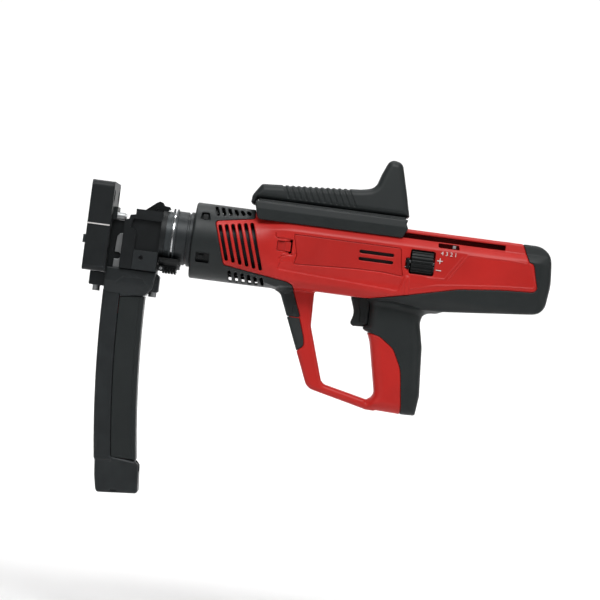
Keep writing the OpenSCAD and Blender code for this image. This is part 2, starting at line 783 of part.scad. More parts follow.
// ---- charging handle ----
rest_outline = [
    [152.5, 43.5, 1], [156.5, 41.5, 0.5], [157.2, 47.8, 0], [306.2, 47.8, 1], [300.5, 71, 8], [293, 97, 6],
    [281.5, 99.5, 8], [273.5, 83, 8], [268, 70, 10], [256, 67.6, 4], [161.5, 60.8, 3], [153.5, 50.5, 5]];
skirt_outline = [
    [165, 27.5, 4], [301.5, 27.5, 1], [305.5, 36, 1], [303.5, 43, 1], [305.5, 47.7, 0], [157.2, 47.7, 0],
    [157.2, 41, 1]];
handle_under = 37.4;
module handle_rest() {
    w = rest_half_w;
    color("#23282a") difference() {
        outline(rest_outline, -w, w);
        outline([[164, 50.3, 0], [299, 50.3, 0], [296.5, 68, 0], [289.5, 93, 2], [284, 94, 2], [277, 80, 4],
                 [270.5, 65.5, 4], [256, 63, 0], [164, 56.5, 0]], -w + 3, w - 3);
        // grooves between the ribs, over the top and down both sides
        difference() {
            for (i = [0:11]) side(-far, far)
                polygon([[180 + i * 6.1, 52], [182.4 + i * 6.1, 52], [185.4 + i * 6.1, 76], [183 + i * 6.1, 76]]);
            outline([[160, 40, 0], [300, 40, 0], [300, 67.2, 0], [257, 66.2, 0], [160, 59.2, 0]], -w + 1.5, w - 1.5);
        }
    }
}
module handle_skirt() {
    w = skirt_half_w;
    inner = w - 2.7;
    color("#262b2b") difference() {
        outline(skirt_outline, -w, w);
        box([150, -inner, 20], [310, inner, handle_under]);
        box([163, -inner, 20], [298, inner, 45]);
        // seats of the carriage's tongues
        box([170, -far, slot_z[0] + 0.35], [296, far, slot_z[1] - 0.35]);
    }
}
module cocking_carriage() {
    color("#85898c") difference() {
        box([170.1, -skirt_half_w + 0.3, slot_z[0] + 0.35], [295.9, skirt_half_w - 0.3, slot_z[1] - 0.35]);
        box([203, -7, 20], [288, 7, 40]);
    }
}

// ---- power regulator ----
wheel_r = 16.5;
module regulator_wheel() {
    ribs = 30;
    color("#121414") difference() {
        xcyl(312.8, 333.7, wheel_r, spindle_y, spindle_z);
        xcyl(312, 335, 2.86, spindle_y, spindle_z);
        for (i = [0:ribs - 1])
            translate([0, spindle_y, spindle_z]) rotate([i * 360 / ribs, 0, 0])
                box([312, -0.8, wheel_r - 1], [335, 0.8, wheel_r + 1]);
    }
}
module regulator_pointer() {
    color("#8f9394") difference() {
        union() {
            xcyl(349, 356, 5.5, spindle_y, spindle_z);
            box([351, spindle_y - 2, spindle_z + 3], [354, spindle_y + 2, 26.6]);
            box([351, -30.8, 23.6], [354, spindle_y - 1.99, 26.6]);
        }
        xcyl(348, 357, 2.86, spindle_y, spindle_z);
    }
}
module regulator_lock() {
    color("#121414") box([308.8, -body_half_w - 1.4, -0.7], [311.3, -28.3, 8.7]);
}

housing_left();
housing_right();
grip_cover(-far, 0);  // grip_cover_left
grip_cover(0, far);  // grip_cover_right
front_sleeve();
sleeve_retainer();
guard_strip();
guard_pad();
color("#b02a26") side_panel(-1);  // side_panel_left
color("#b02a26") side_panel(1);  // side_panel_right
housing_screws();
guide_cylinder();
chamber_block();
breech_block();
firing_tube();
recoil_spring();
recoil_buffer();
recoil_rod();
regulator_spindle();
stop_block();
muzzle_bush();
nose_neck();
guide_plates();
stop_bolts();
magazine_head();
sight_wedge();
head_lids();
head_screws();
lock_rings();
chrome_ring();
guide_sleeve();
barrel();
piston_buffer();
magazine_case();
magazine_collar();
magazine_screws();
door_hinge_pin();
magazine_door();
nail_follower();
follower_spring();
magazine_latch();
latch_pin();
contact_probe();
probe_spring();
piston();
piston_rings();
trigger();
trigger_bar();
trigger_spring();
sear();
firing_pin();
firing_spring();
handle_rest();
handle_skirt();
cocking_carriage();
regulator_wheel();
regulator_pointer();
regulator_lock();
release_button(-1);  // release_button_left
release_button(1);  // release_button_right
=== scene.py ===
"""Finished look of the powder-actuated nail gun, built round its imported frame.

Shells are modelled as distance fields on a block of sample points, so that every moulded edge is
rounded, and are then meshed. Lengths inside the shape code are millimetres in the frame's axes:
+X runs back along the drive axis, +Z is up and -Y is the left side. Meshes are in metres.
"""

import json
import math

import bpy
import numpy as np
import openvdb
from mathutils import Matrix, Vector


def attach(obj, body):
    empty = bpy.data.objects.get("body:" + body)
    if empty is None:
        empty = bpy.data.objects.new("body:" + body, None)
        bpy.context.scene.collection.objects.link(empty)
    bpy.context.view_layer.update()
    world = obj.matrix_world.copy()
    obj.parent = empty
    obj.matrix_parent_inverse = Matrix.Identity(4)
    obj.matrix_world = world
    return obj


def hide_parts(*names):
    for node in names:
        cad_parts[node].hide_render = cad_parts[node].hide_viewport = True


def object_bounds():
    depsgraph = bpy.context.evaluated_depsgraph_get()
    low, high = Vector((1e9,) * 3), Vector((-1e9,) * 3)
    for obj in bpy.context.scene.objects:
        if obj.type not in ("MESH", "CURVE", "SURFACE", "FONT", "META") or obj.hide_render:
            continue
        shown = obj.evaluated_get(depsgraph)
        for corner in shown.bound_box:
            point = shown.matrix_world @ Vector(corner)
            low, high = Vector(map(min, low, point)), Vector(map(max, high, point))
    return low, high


bl_info = {
    "name": "Powder-Actuated Nail Gun",
    "version": (1, 0, 0),
    "blender": (4, 5, 0),
    "location": "3D View > Sidebar > Nail Gun",
    "description": "Builds the moulded shells, the finishes and the studio of a nail gun",
    "category": "Object",
}

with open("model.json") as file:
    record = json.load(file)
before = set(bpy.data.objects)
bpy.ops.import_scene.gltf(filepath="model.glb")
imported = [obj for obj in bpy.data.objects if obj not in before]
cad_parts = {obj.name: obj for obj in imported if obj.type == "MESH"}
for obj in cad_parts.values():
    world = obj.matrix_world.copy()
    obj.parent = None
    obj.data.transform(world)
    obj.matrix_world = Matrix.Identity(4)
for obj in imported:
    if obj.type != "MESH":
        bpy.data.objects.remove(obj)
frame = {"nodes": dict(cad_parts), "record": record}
CAD_BOX = [[float(c) for c in corner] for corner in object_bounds()]

MM = 0.001
SLEEVE_R = 37.0          # outer radius of the front sleeve
SLEEVE_X = 101.0         # front edge of the sleeve
WALL = 3.0               # shell thickness
SEAM = 0.16              # half gap where two mouldings meet
LIP = 1.7                # depth of the red lip that runs under the black mouldings
FAR = 500.0


# ---------------------------------------------------------------- settings

class NailGunColours(bpy.types.PropertyGroup):
    """Colours of the tool's finishes"""

    red: bpy.props.FloatVectorProperty(
        name="Housing red", description="Colour of the moulded red shells",
        subtype="COLOR", default=(0.510, 0.0160, 0.0120), min=0, max=1)
    black: bpy.props.FloatVectorProperty(
        name="Grip black", description="Colour of the black mouldings and overmoulds",
        subtype="COLOR", default=(0.0190, 0.0235, 0.0240), min=0, max=1)
    nose: bpy.props.FloatVectorProperty(
        name="Nose black", description="Colour of the blackened nose metal",
        subtype="COLOR", default=(0.0120, 0.0140, 0.0150), min=0, max=1)
    floor: bpy.props.FloatVectorProperty(
        name="Floor", description="Colour of the studio floor and cove",
        subtype="COLOR", default=(0.80, 0.80, 0.80), min=0, max=1)


class NailGunSizes(bpy.types.PropertyGroup):
    """Sizes of the finishing details"""

    sample: bpy.props.FloatProperty(
        name="Sample spacing", description="Spacing of the sample points of the large shells",
        default=0.72 * MM, min=0.4 * MM, max=2 * MM, unit="LENGTH")
    edge: bpy.props.FloatProperty(
        name="Moulded edge radius", description="Radius on the rims of the mouldings",
        default=0.9 * MM, min=0.2 * MM, max=3 * MM, unit="LENGTH")
    bevel: bpy.props.FloatProperty(
        name="Machined edge width", description="Width of the broken edges on machined parts",
        default=0.35 * MM, min=0.05 * MM, max=1 * MM, unit="LENGTH")
    reach: bpy.props.FloatProperty(
        name="Camera distance", description="Distance from the camera to the drive axis",
        default=2.83, min=1, max=6, unit="LENGTH")


def colours():
    return bpy.context.scene.nail_gun_colours


def sizes():
    return bpy.context.scene.nail_gun_sizes


# ---------------------------------------------------------------- outlines

def rounded(corners, step=12.0):
    """Points of a closed outline from corners (u, v, radius), with each corner as an arc."""
    points = []
    count = len(corners)
    for i, (bu, bv, radius) in enumerate(corners):
        a, c = corners[i - 1], corners[(i + 1) % count]
        into = np.array([bu - a[0], bv - a[1]], float)
        out = np.array([c[0] - bu, c[1] - bv], float)
        into /= np.linalg.norm(into)
        out /= np.linalg.norm(out)
        turn = math.degrees(math.acos(max(-1.0, min(1.0, float(into @ out)))))
        side = 1.0 if into[0] * out[1] - into[1] * out[0] > 0 else -1.0
        if radius < 0.05 or turn < 1:
            points.append((bu, bv))
            continue
        left = np.array([-into[1], into[0]])
        back = radius * math.tan(math.radians(turn / 2))
        centre = np.array([bu, bv]) - into * back + side * radius * left
        arm = -side * left * radius
        steps = max(2, math.ceil(turn / step))
        for k in range(steps + 1):
            t = math.radians(side * turn * k / steps)
            points.append((centre[0] + arm[0] * math.cos(t) - arm[1] * math.sin(t),
                           centre[1] + arm[0] * math.sin(t) + arm[1] * math.cos(t)))
    return points


def outline_distance(points, u, v):
    """Signed distance from (u, v) to a closed outline, negative inside."""
    u, v = np.broadcast_arrays(u, v)
    best = np.full(u.shape, 1e9, np.float32)
    inside = np.zeros(u.shape, bool)
    for (au, av), (bu, bv) in zip(points, points[1:] + points[:1]):
        eu, ev = bu - au, bv - av
        length = eu * eu + ev * ev
        if length < 1e-9:
            continue
        wu, wv = u - au, v - av
        t = np.clip((wu * eu + wv * ev) / length, 0, 1)
        best = np.minimum(best, (wu - t * eu) ** 2 + (wv - t * ev) ** 2)
        if abs(ev) > 1e-9:
            crosses = (av > v) != (bv > v)
            inside ^= crosses & (wu < eu * wv / ev)
    best = np.sqrt(best)
    return np.where(inside, -best, best).astype(np.float32)


def path_distance(points, u, v):
    """Distance from (u, v) to an open path."""
    u, v = np.broadcast_arrays(u, v)
    best = np.full(u.shape, 1e9, np.float32)
    for (au, av), (bu, bv) in zip(points, points[1:]):
        eu, ev = bu - au, bv - av
        t = np.clip(((u - au) * eu + (v - av) * ev) / (eu * eu + ev * ev), 0, 1)
        best = np.minimum(best, (u - au - t * eu) ** 2 + (v - av - t * ev) ** 2)
    return np.sqrt(best).astype(np.float32)


# ---------------------------------------------------------------- fields

def both(a, b, r=0.0):
    """What is in a and in b, with a round of radius r where they meet."""
    if r <= 0:
        return np.maximum(a, b)
    return np.minimum(np.maximum(a, b), -r) + np.hypot(np.maximum(a + r, 0), np.maximum(b + r, 0))


def join(a, b, r=0.0):
    """a and b together, with a fillet of radius r between them."""
    if np.all(np.asarray(r) <= 0):
        return np.minimum(a, b)
    return np.maximum(np.minimum(a, b), r) - np.hypot(np.maximum(r - a, 0), np.maximum(r - b, 0))


def cut(a, b, r=0.0):
    """a without b, with its rim rounded by r."""
    return both(a, -b, r)


def smooth(x, start, end):
    t = np.clip((x - start) / (end - start), 0, 1)
    return t * t * (3 - 2 * t)


class Block:
    """Sample points round a piece. w is the distance from the centre plane."""

    def __init__(self, lo, hi, step, half=False):
        lo = np.array([lo[0], 0.0 if half else lo[1], lo[2]], float) - 3 * step
        hi = np.array(hi, float) + 3 * step
        count = np.ceil((hi - lo) / step).astype(int) + 1
        x, y, z = (np.float32(lo[i]) + np.float32(step) * np.arange(count[i], dtype=np.float32)
                   for i in range(3))
        self.lo, self.step, self.half = lo, step, half
        self.x, self.y, self.z = x[:, None, None], y[None, :, None], z[None, None, :]
        self.w = self.y if half else np.abs(self.y)

    def side(self, corners):
        """Side view outline, along the whole width."""
        return outline_distance(rounded(corners), self.x, self.z)

    def ahead(self, corners):
        """Outline in the view along the drive axis, of (w, z)."""
        return outline_distance(rounded(corners), self.w, self.z)

    def line(self, points, half_width):
        """A drawn line in the side view."""
        return path_distance(points, self.x, self.z) - half_width

    def pin(self, radius, x, z):
        """Cylinder across the tool."""
        return np.hypot(self.x - x, self.z - z) - radius

    def slab(self, x=None, w=None, z=None):
        """Box given by its spans; a missing span is endless."""
        field = np.float32(-FAR)
        for values, span in ((self.x, x), (self.w, w), (self.z, z)):
            if span:
                field = np.maximum(field, np.maximum(span[0] - values, values - span[1]))
        return field

    def mesh(self, field, name, mirror=False):
        """Object of the field's zero surface, with normals from the field."""
        shape = (self.x.size, self.y.size, self.z.size)
        field = np.ascontiguousarray(np.broadcast_to(field, shape), np.float32)
        band = 3 * self.step
        grid = openvdb.FloatGrid(band)
        grid.copyFromArray(np.clip(field, -band, band))
        points, triangles, quads = grid.convertToPolygons(0.0, 0.0)
        faces = [tuple(q) for q in quads.tolist()] + [tuple(t) for t in triangles.tolist()]
        normals = self.slopes(field, points)
        place = (points * self.step + self.lo) * MM
        # outward winding: the first faces' own normals agree with the field's slope
        a, b, c = (place[[f[k] for f in faces[:400]]] for k in range(3))
        agree = (np.cross(b - a, c - a) * normals[[f[0] for f in faces[:400]]]).sum()
        flip = agree < 0
        if mirror:
            place[:, 1] *= -1
            normals[:, 1] *= -1
            flip = not flip
        if flip:
            faces = [f[::-1] for f in faces]
        mesh = bpy.data.meshes.new(name)
        mesh.from_pydata(place.tolist(), [], faces)
        mesh.polygons.foreach_set("use_smooth", [True] * len(faces))
        mesh.normals_split_custom_set_from_vertices(normals.tolist())
        mesh.update()
        piece = bpy.data.objects.new(name, mesh)
        bpy.context.scene.collection.objects.link(piece)
        return piece

    @staticmethod
    def slopes(field, points):
        """Unit normals of the field at points given in samples."""
        def at(p):
            i = np.clip(np.floor(p).astype(int), 0, np.array(field.shape) - 2)
            f = p - i
            total = 0
            for dx in (0, 1):
                for dy in (0, 1):
                    for dz in (0, 1):
                        weight = (np.abs(1 - dx - f[:, 0]) * np.abs(1 - dy - f[:, 1])
                                  * np.abs(1 - dz - f[:, 2]))
                        total = total + weight * field[i[:, 0] + dx, i[:, 1] + dy, i[:, 2] + dz]
            return total
        reach = 0.6
        slope = np.stack([at(points + np.eye(3)[k] * reach) - at(points - np.eye(3)[k] * reach)
                          for k in range(3)], 1)
        return slope / np.maximum(np.linalg.norm(slope, axis=1, keepdims=True), 1e-9)


# ---------------------------------------------------------------- materials

class Nodes:
    """Small helper that adds and links shader nodes."""

    def __init__(self, name):
        self.material = bpy.data.materials.new(name)
        self.material.use_nodes = True
        self.tree = self.material.node_tree
        self.shader = self.tree.nodes["Principled BSDF"]

    def add(self, kind, **values):
        node = self.tree.nodes.new("ShaderNode" + kind)
        for key, value in values.items():
            if key in node.inputs:
                node.inputs[key].default_value = value
            else:
                setattr(node, key, value)
        return node

    def link(self, a, b):
        self.tree.links.new(a, b)

    def noise(self, place, scale, detail=3.0, rough=0.5):
        node = self.add("TexNoise", Scale=scale, Detail=detail, Roughness=rough)
        self.link(place, node.inputs["Vector"])
        return node.outputs["Fac"]

    def spread(self, value, low, high, a=0.0, b=1.0):
        node = self.add("MapRange")
        for key, number in zip(("From Min", "From Max", "To Min", "To Max"), (low, high, a, b)):
            node.inputs[key].default_value = number
        self.link(value, node.inputs["Value"])
        return node.outputs["Result"]

    def blend(self, factor, first, second):
        node = self.add("Mix", data_type="RGBA")
        self.link(factor, node.inputs["Factor"])
        for socket, colour in ((node.inputs[6], first), (node.inputs[7], second)):
            if isinstance(colour, bpy.types.NodeSocket):
                self.link(colour, socket)
            else:
                socket.default_value = (*colour, 1)
        return node.outputs[2]

    def bump(self, height, depth, strength=1.0, after=None):
        node = self.add("Bump", Strength=strength, Distance=depth)
        self.link(height, node.inputs["Height"])
        if after is not None:
            self.link(after, node.inputs["Normal"])
        return node.outputs["Normal"]


def scaled(colour, factor):
    return tuple(min(1.0, c * factor) for c in colour)


def moulded(name, colour, shine, grain, depth, worn=1.5, coat=0.0, gloss=0.4):
    """Moulded plastic: faint mottling, fine grain, and lighter rubbed edges."""
    n = Nodes(name)
    place = n.add("TexCoord").outputs["Object"]
    mottle = n.spread(n.noise(place, 22.0, 4.0), 0.35, 0.65)
    base = n.blend(mottle, scaled(colour, 0.93), scaled(colour, 1.07))
    scuffs = n.spread(n.noise(place, 160.0, 6.0, 0.7), 0.55, 0.75)
    edge = n.spread(n.add("NewGeometry").outputs["Pointiness"], 0.515, 0.60)
    rub = n.add("Math", operation="MULTIPLY")
    n.link(scuffs, rub.inputs[0])
    n.link(edge, rub.inputs[1])
    base = n.blend(rub.outputs[0], base, scaled(colour, worn))
    n.link(base, n.shader.inputs["Base Color"])
    rough = n.spread(n.noise(place, 70.0, 5.0, 0.6), 0.3, 0.7, shine - 0.05, shine + 0.06)
    n.link(rough, n.shader.inputs["Roughness"])
    fine = n.bump(n.noise(place, grain, 2.0, 0.55), depth, 0.6)
    soft = n.bump(n.noise(place, 28.0, 1.0), 0.00008, 0.25, fine)
    n.link(soft, n.shader.inputs["Normal"])
    n.shader.inputs["Specular IOR Level"].default_value = gloss
    n.shader.inputs["Coat Weight"].default_value = coat
    n.shader.inputs["Coat Roughness"].default_value = 0.22
    return n.material


def machined(name, colour, shine, lay=(1, 1, 1), worn=1.35, metallic=1.0, gloss=0.5):
    """Turned or ground metal: tool marks along one direction, oil mottling, rubbed edges."""
    n = Nodes(name)
    place = n.add("TexCoord").outputs["Object"]
    stretch = n.add("Mapping")
    stretch.inputs["Scale"].default_value = lay
    n.link(place, stretch.inputs["Vector"])
    marks = n.noise(stretch.outputs["Vector"], 900.0, 3.0, 0.6)
    mottle = n.spread(n.noise(place, 60.0, 4.0), 0.35, 0.65)
    base = n.blend(mottle, scaled(colour, 0.86), scaled(colour, 1.10))
    edge = n.spread(n.add("NewGeometry").outputs["Pointiness"], 0.52, 0.62)
    base = n.blend(edge, base, scaled(colour, worn))
    n.link(base, n.shader.inputs["Base Color"])
    n.shader.inputs["Metallic"].default_value = metallic
    n.shader.inputs["Specular IOR Level"].default_value = gloss
    rough = n.spread(marks, 0.3, 0.7, shine - 0.06, shine + 0.08)
    n.link(rough, n.shader.inputs["Roughness"])
    n.link(n.bump(marks, 0.00003, 0.35), n.shader.inputs["Normal"])
    return n.material


def dense_rubber(name, colour):
    """Matt rubber with a fine pitted skin."""
    n = Nodes(name)
    place = n.add("TexCoord").outputs["Object"]
    pits = n.add("TexVoronoi", Scale=900.0)
    n.link(place, pits.inputs["Vector"])
    mottle = n.spread(n.noise(place, 90.0, 5.0), 0.35, 0.65)
    n.link(n.blend(mottle, scaled(colour, 0.85), scaled(colour, 1.2)), n.shader.inputs["Base Color"])
    n.link(n.spread(mottle, 0, 1, 0.62, 0.8), n.shader.inputs["Roughness"])
    n.link(n.bump(pits.outputs["Distance"], 0.00012, 0.5), n.shader.inputs["Normal"])
    return n.material


def printed(name, colour):
    """Pad-printed ink with a slightly broken edge."""
    n = Nodes(name)
    place = n.add("TexCoord").outputs["Object"]
    fade = n.spread(n.noise(place, 900.0, 4.0), 0.3, 0.7)
    n.link(n.blend(fade, scaled(colour, 0.85), scaled(colour, 1.05)), n.shader.inputs["Base Color"])
    n.link(n.spread(fade, 0, 1, 0.45, 0.6), n.shader.inputs["Roughness"])
    return n.material


FINISHES = {}


def finish(name):
    """The material of one of the tool's finishes, made on first use."""
    if name in FINISHES:
        return FINISHES[name]
    red, black, nose = (tuple(c) for c in (colours().red, colours().black, colours().nose))
    makers = {
        "red_shell": lambda: moulded("red_shell", red, 0.42, 1500.0, 0.00006, 1.25, 0.04, 0.32),
        "red_panel": lambda: moulded("red_panel", scaled(red, 0.88), 0.44, 1500.0, 0.00006, 1.25, 0.04, 0.32),
        "black_grip": lambda: moulded(
            "black_grip", scaled(black, 0.8), 0.50, 1100.0, 0.00012, 1.8, 0, 0.32),
        "black_shell": lambda: moulded(
            "black_shell", scaled(black, 0.8), 0.46, 1300.0, 0.00009, 1.8, 0, 0.32),
        "black_gloss": lambda: moulded(
            "black_gloss", scaled(black, 0.3), 0.40, 1800.0, 0.00003, 2.0, 0, 0.22),
        "black_pad": lambda: dense_rubber("black_pad", scaled(black, 0.7)),
        "nose_black": lambda: machined("nose_black", scaled(nose, 0.85), 0.46, (1, 1, 1), 2.2, 0.1, 0.25),
        "nose_grey": lambda: machined("nose_grey", scaled(nose, 1.8), 0.42, (0.2, 1, 1), 2.0, 0.3, 0.4),
        "steel": lambda: machined("steel", (0.52, 0.53, 0.54), 0.30, (1, 0.1, 0.1)),
        # near-black inner steel: partly the parts' own dark finish, partly painted shade so that the insides
        # seen through the slits and vents look dark
        "steel_dark": lambda: machined(
            "steel_dark", (0.022, 0.023, 0.025), 0.45, (1, 0.1, 0.1), 1.3, 0.6, 0.2),
        "zinc": lambda: machined("zinc", (0.36, 0.37, 0.375), 0.42),
        "bright": lambda: machined("bright", (0.62, 0.63, 0.64), 0.20, (1, 0.1, 0.1), 1.1),
        "spring_steel": lambda: machined("spring_steel", (0.50, 0.50, 0.51), 0.28),
        "bump_rubber": lambda: dense_rubber("bump_rubber", (0.035, 0.027, 0.022)),
        "signal_red": lambda: moulded("signal_red", (0.42, 0.035, 0.02), 0.5, 900.0, 0.00008),
        "pointer_grey": lambda: moulded("pointer_grey", (0.30, 0.31, 0.31), 0.5, 900.0, 0.00005),
        "white_ink": lambda: printed("white_ink", (0.70, 0.68, 0.67)),
    }
    FINISHES[name] = makers[name]()
    return FINISHES[name]


def slot_of(node):
    """Material slot that the record gives a node."""
    for entry in frame["record"]["subparts"]:
        if entry["node"] == node:
            return entry["material_slot"]
    raise KeyError(node)


def body_of_node(node):
    for name, nodes in frame["record"]["behaviour"]["bodies"].items():
        if node in nodes:
            return name
    raise KeyError(node)


def stands_for(piece, *nodes, slot=None):
    """Gives the piece its finish, lets it ride with its nodes' body and hides the nodes."""
    slot = slot or slot_of(nodes[0])
    piece.data.materials.clear()
    piece.data.materials.append(finish(slot))
    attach(piece, body_of_node(nodes[0]))
    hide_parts(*nodes)
    return piece


# ---------------------------------------------------------------- body shape

BODY_SIDE = [
    (80, -36.9, 0), (187, -36.6, 1), (191, -34.2, 2), (275, -34.6, 0), (300, -34.8, 4), (332, -39, 1),
    (345, -38.6, 4), (430, -30, 10), (446, -28, 14), (450.3, 2, 30), (446, 37, 18), (80, 37, 0)]
# (w, z) of the right half of the body seen along the drive axis, open above and below
BODY_AHEAD = [
    (0, -90, 0), (9, -60, 0), (22, -41, 8), (33.5, -27.5, 9), (36.5, -14, 9), (36.5, 20.4, 1.6),
    (30.4, 27.6, 2), (28.8, 37, 0), (27, 60, 0), (0, 60, 0)]
GRIP_SIDE = [
    (279.9, -26, 0), (279.9, -60, 0), (274, -63, 1.5), (280.5, -67.5, 2), (284, -76, 6), (294.5, -125, 8),
    (290, -132, 5), (288, -140.6, 0), (322, -141.8, 0), (336.5, -141.5, 2.5), (338.5, -122, 8),
    (335, -75, 20), (330, -52, 10), (332, -40, 10), (345, -38.6, 3), (345, -26, 0)]
GUARD_SIDE = [
    (190, -36, 3), (229, -128, 12), (286, -141, 6), (296, -141.2, 0), (296, -126, 5),
    (289, -132, 4), (243, -122, 8), (225.5, -68, 5), (224.5, -30, 0), (196, -26, 0)]
SLEEVE_ZONE = [
    (80, -60, 0), (190, -60, 0), (205, -37, 0), (202.6, -31.4, 3), (197, -28.7, 3), (134, -20.3, 3),
    (121.3, 20.6, 2.5),
    (159, 27.3, 2), (156.5, 60, 0), (80, 60, 0)]
GRIP_ZONE = [
    (274, -34.8, 0), (310, -27, 30), (362, -14.5, 40), (400, -10, 20), (437, -7.8, 4.5),
    (429.8, 19.2, 4.5), (425.6, 19.6, 1), (417.3, 38.5, 0), (480, 60, 0), (480, -170, 0), (322, -170, 0),
    (321.6, -135, 12), (316.5, -98, 25), (307, -79.5, 14), (293, -69.6, 10), (279, -66.4, 0),
    (266, -66.4, 0), (266, -35.4, 0)]
STRIP_ZONE = [
    (184, -39.5, 0), (187, -45, 0), (196, -61.6, 0), (214.6, -61.6, 2), (202.8, -32.2, 4),
    (197, -29.6, 0), (189, -34.5, 0)]
PAD_ZONE = [(196, -61.8, 0), (208, -98, 0), (221.4, -88.5, 5), (219.8, -79.5, 4), (213.6, -61.8, 1)]
PANEL_SIDE = [(200.8, -10.9, 1), (262, -7.6, 20), (286, -7.4, 20), (306.6, -9.2, 1), (304, 2, 3),
              (302, 17.5, 3), (198, 17.5, 1.5), (203, -2.5, 3)]
# dished band of the flank under the panel
VALLEY_SIDE = [(186, -17.6, 1.5), (304, -23.6, 4), (308.6, -8, 2), (290, 0, 0), (202, 0, 0), (188, -8, 4)]
PANEL_SLITS = [[(263.8, 2.6), (294.2, 2.6)], [(263.8, 9.6), (294.2, 9.6)]]
GRIP_HALF_W = 17.0
GUARD_HALF_W = 12.0
TURN_X = (158.0, 199.0)      # where the round sleeve turns into the square body
VENTS = 6
SCREWS = [(240, -26.5, 26), (372, 21, 27), (422, -17, 26), (422, 22, 25),
          (322, -112, 12), (300, -78, 12), (226, -100, 8), (311, -136, 11.5)]


def body_field(b):
    """Outside of the whole moulded body: sleeve, body, grip and guard."""
    trunk = both(b.side(BODY_SIDE), b.ahead(BODY_AHEAD), 2.2)
    plan = both(b.x - 452, b.w - 36.9, 22)
    trunk = both(trunk, plan, 3)
    barrel = np.hypot(b.w, b.z) - SLEEVE_R
    turn = smooth(b.x, *TURN_X)
    trunk = barrel * (1 - turn) + trunk * turn
    trunk = both(trunk, SLEEVE_X - b.x, 2.0)
    swell = GRIP_HALF_W + 0.6 * smooth(-b.z, 90, 120) - 1.2 * smooth(b.x, 318, 338)
    grip = both(b.side(GRIP_SIDE), b.w - swell, 11)
    guard = both(b.side(GUARD_SIDE), b.w - GUARD_HALF_W, 4.5)
    # a wide fillet where the guard leaves the sleeve, a tight one behind it
    return join(join(trunk, grip, 7), guard, 9 - 6.5 * smooth(b.x, 196, 210))


def vent_fields(b):
    """Slanted vents in the red flank."""
    field = np.float32(FAR)
    for i in range(VENTS):
        top = (126.3 + 6.05 * i, 15.8 + 1.15 * i)
        foot = (136.2 + 6.75 * i, -14.8 - 1.0 * i)
        field = np.minimum(field, b.line([top, foot], 1.6))
    return field


def panel_slits(b):
    """The two long slits in the side panel."""
    return np.minimum(*(b.line(slit, 1.6) for slit in PANEL_SLITS))


def sleeve_openings(b):
    """Top vents, bottom slots and the four lug windows of the sleeve."""
    left, right = b.y, -b.y
    field = np.float32(FAR)
    for i in range(VENTS):
        # the right flank's vents stand half a pitch back, so that no light shows through
        for flank, shift in ((left, 0), (right, 3.1)):
            x = 120.6 + 6.2 * i + shift
            vent = b.line([(x, 33.1 - 0.15 * i), (x + 2.2 - 0.1 * i, 26.9 + 0.85 * i)], 1.4)
            field = np.minimum(field, both(vent, flank + 3, 0))
        x = 140.4 + 6.3 * i
        slot = b.line([(x, -26.6 - 0.55 * i), (x + 1.6, -33.6)], 1.5)
        field = np.minimum(field, both(slot, left + 3, 0))
        # on the right flank only the lower ends are open
        slot = b.line([(x + 0.9, -31.9 + 0.1 * i), (x + 1.6, -33.6)], 1.75 - 0.17 * i)
        field = np.minimum(field, both(slot, right + 3, 0))
    windows = [
        [(106.8, 20.4, 0.5), (116.2, 20.4, 0.5), (114.4, 27.2, 1.4), (107.6, 27.2, 1.4)],
        [(106.6, -11.4, 0.8), (106.6, -21, 1), (119.4, -21, 1), (119.4, -11.4, 0.8)]]
    for window in windows:
        field = np.minimum(field, both(b.side(window), 6 - b.w, 0))
    return field


def sleeve_webs(b):
    """Webs on the centre plane above and below the guide cylinder."""
    top = b.slab(x=(117, 159), w=(-9, 1.2), z=(29.4, 36))
    foot = b.side([(136, -29.4, 0), (136, -31.0, 0), (174, -33.0, 0), (174, -29.4, 0)])
    return np.minimum(top, both(foot, b.w - 1.2))


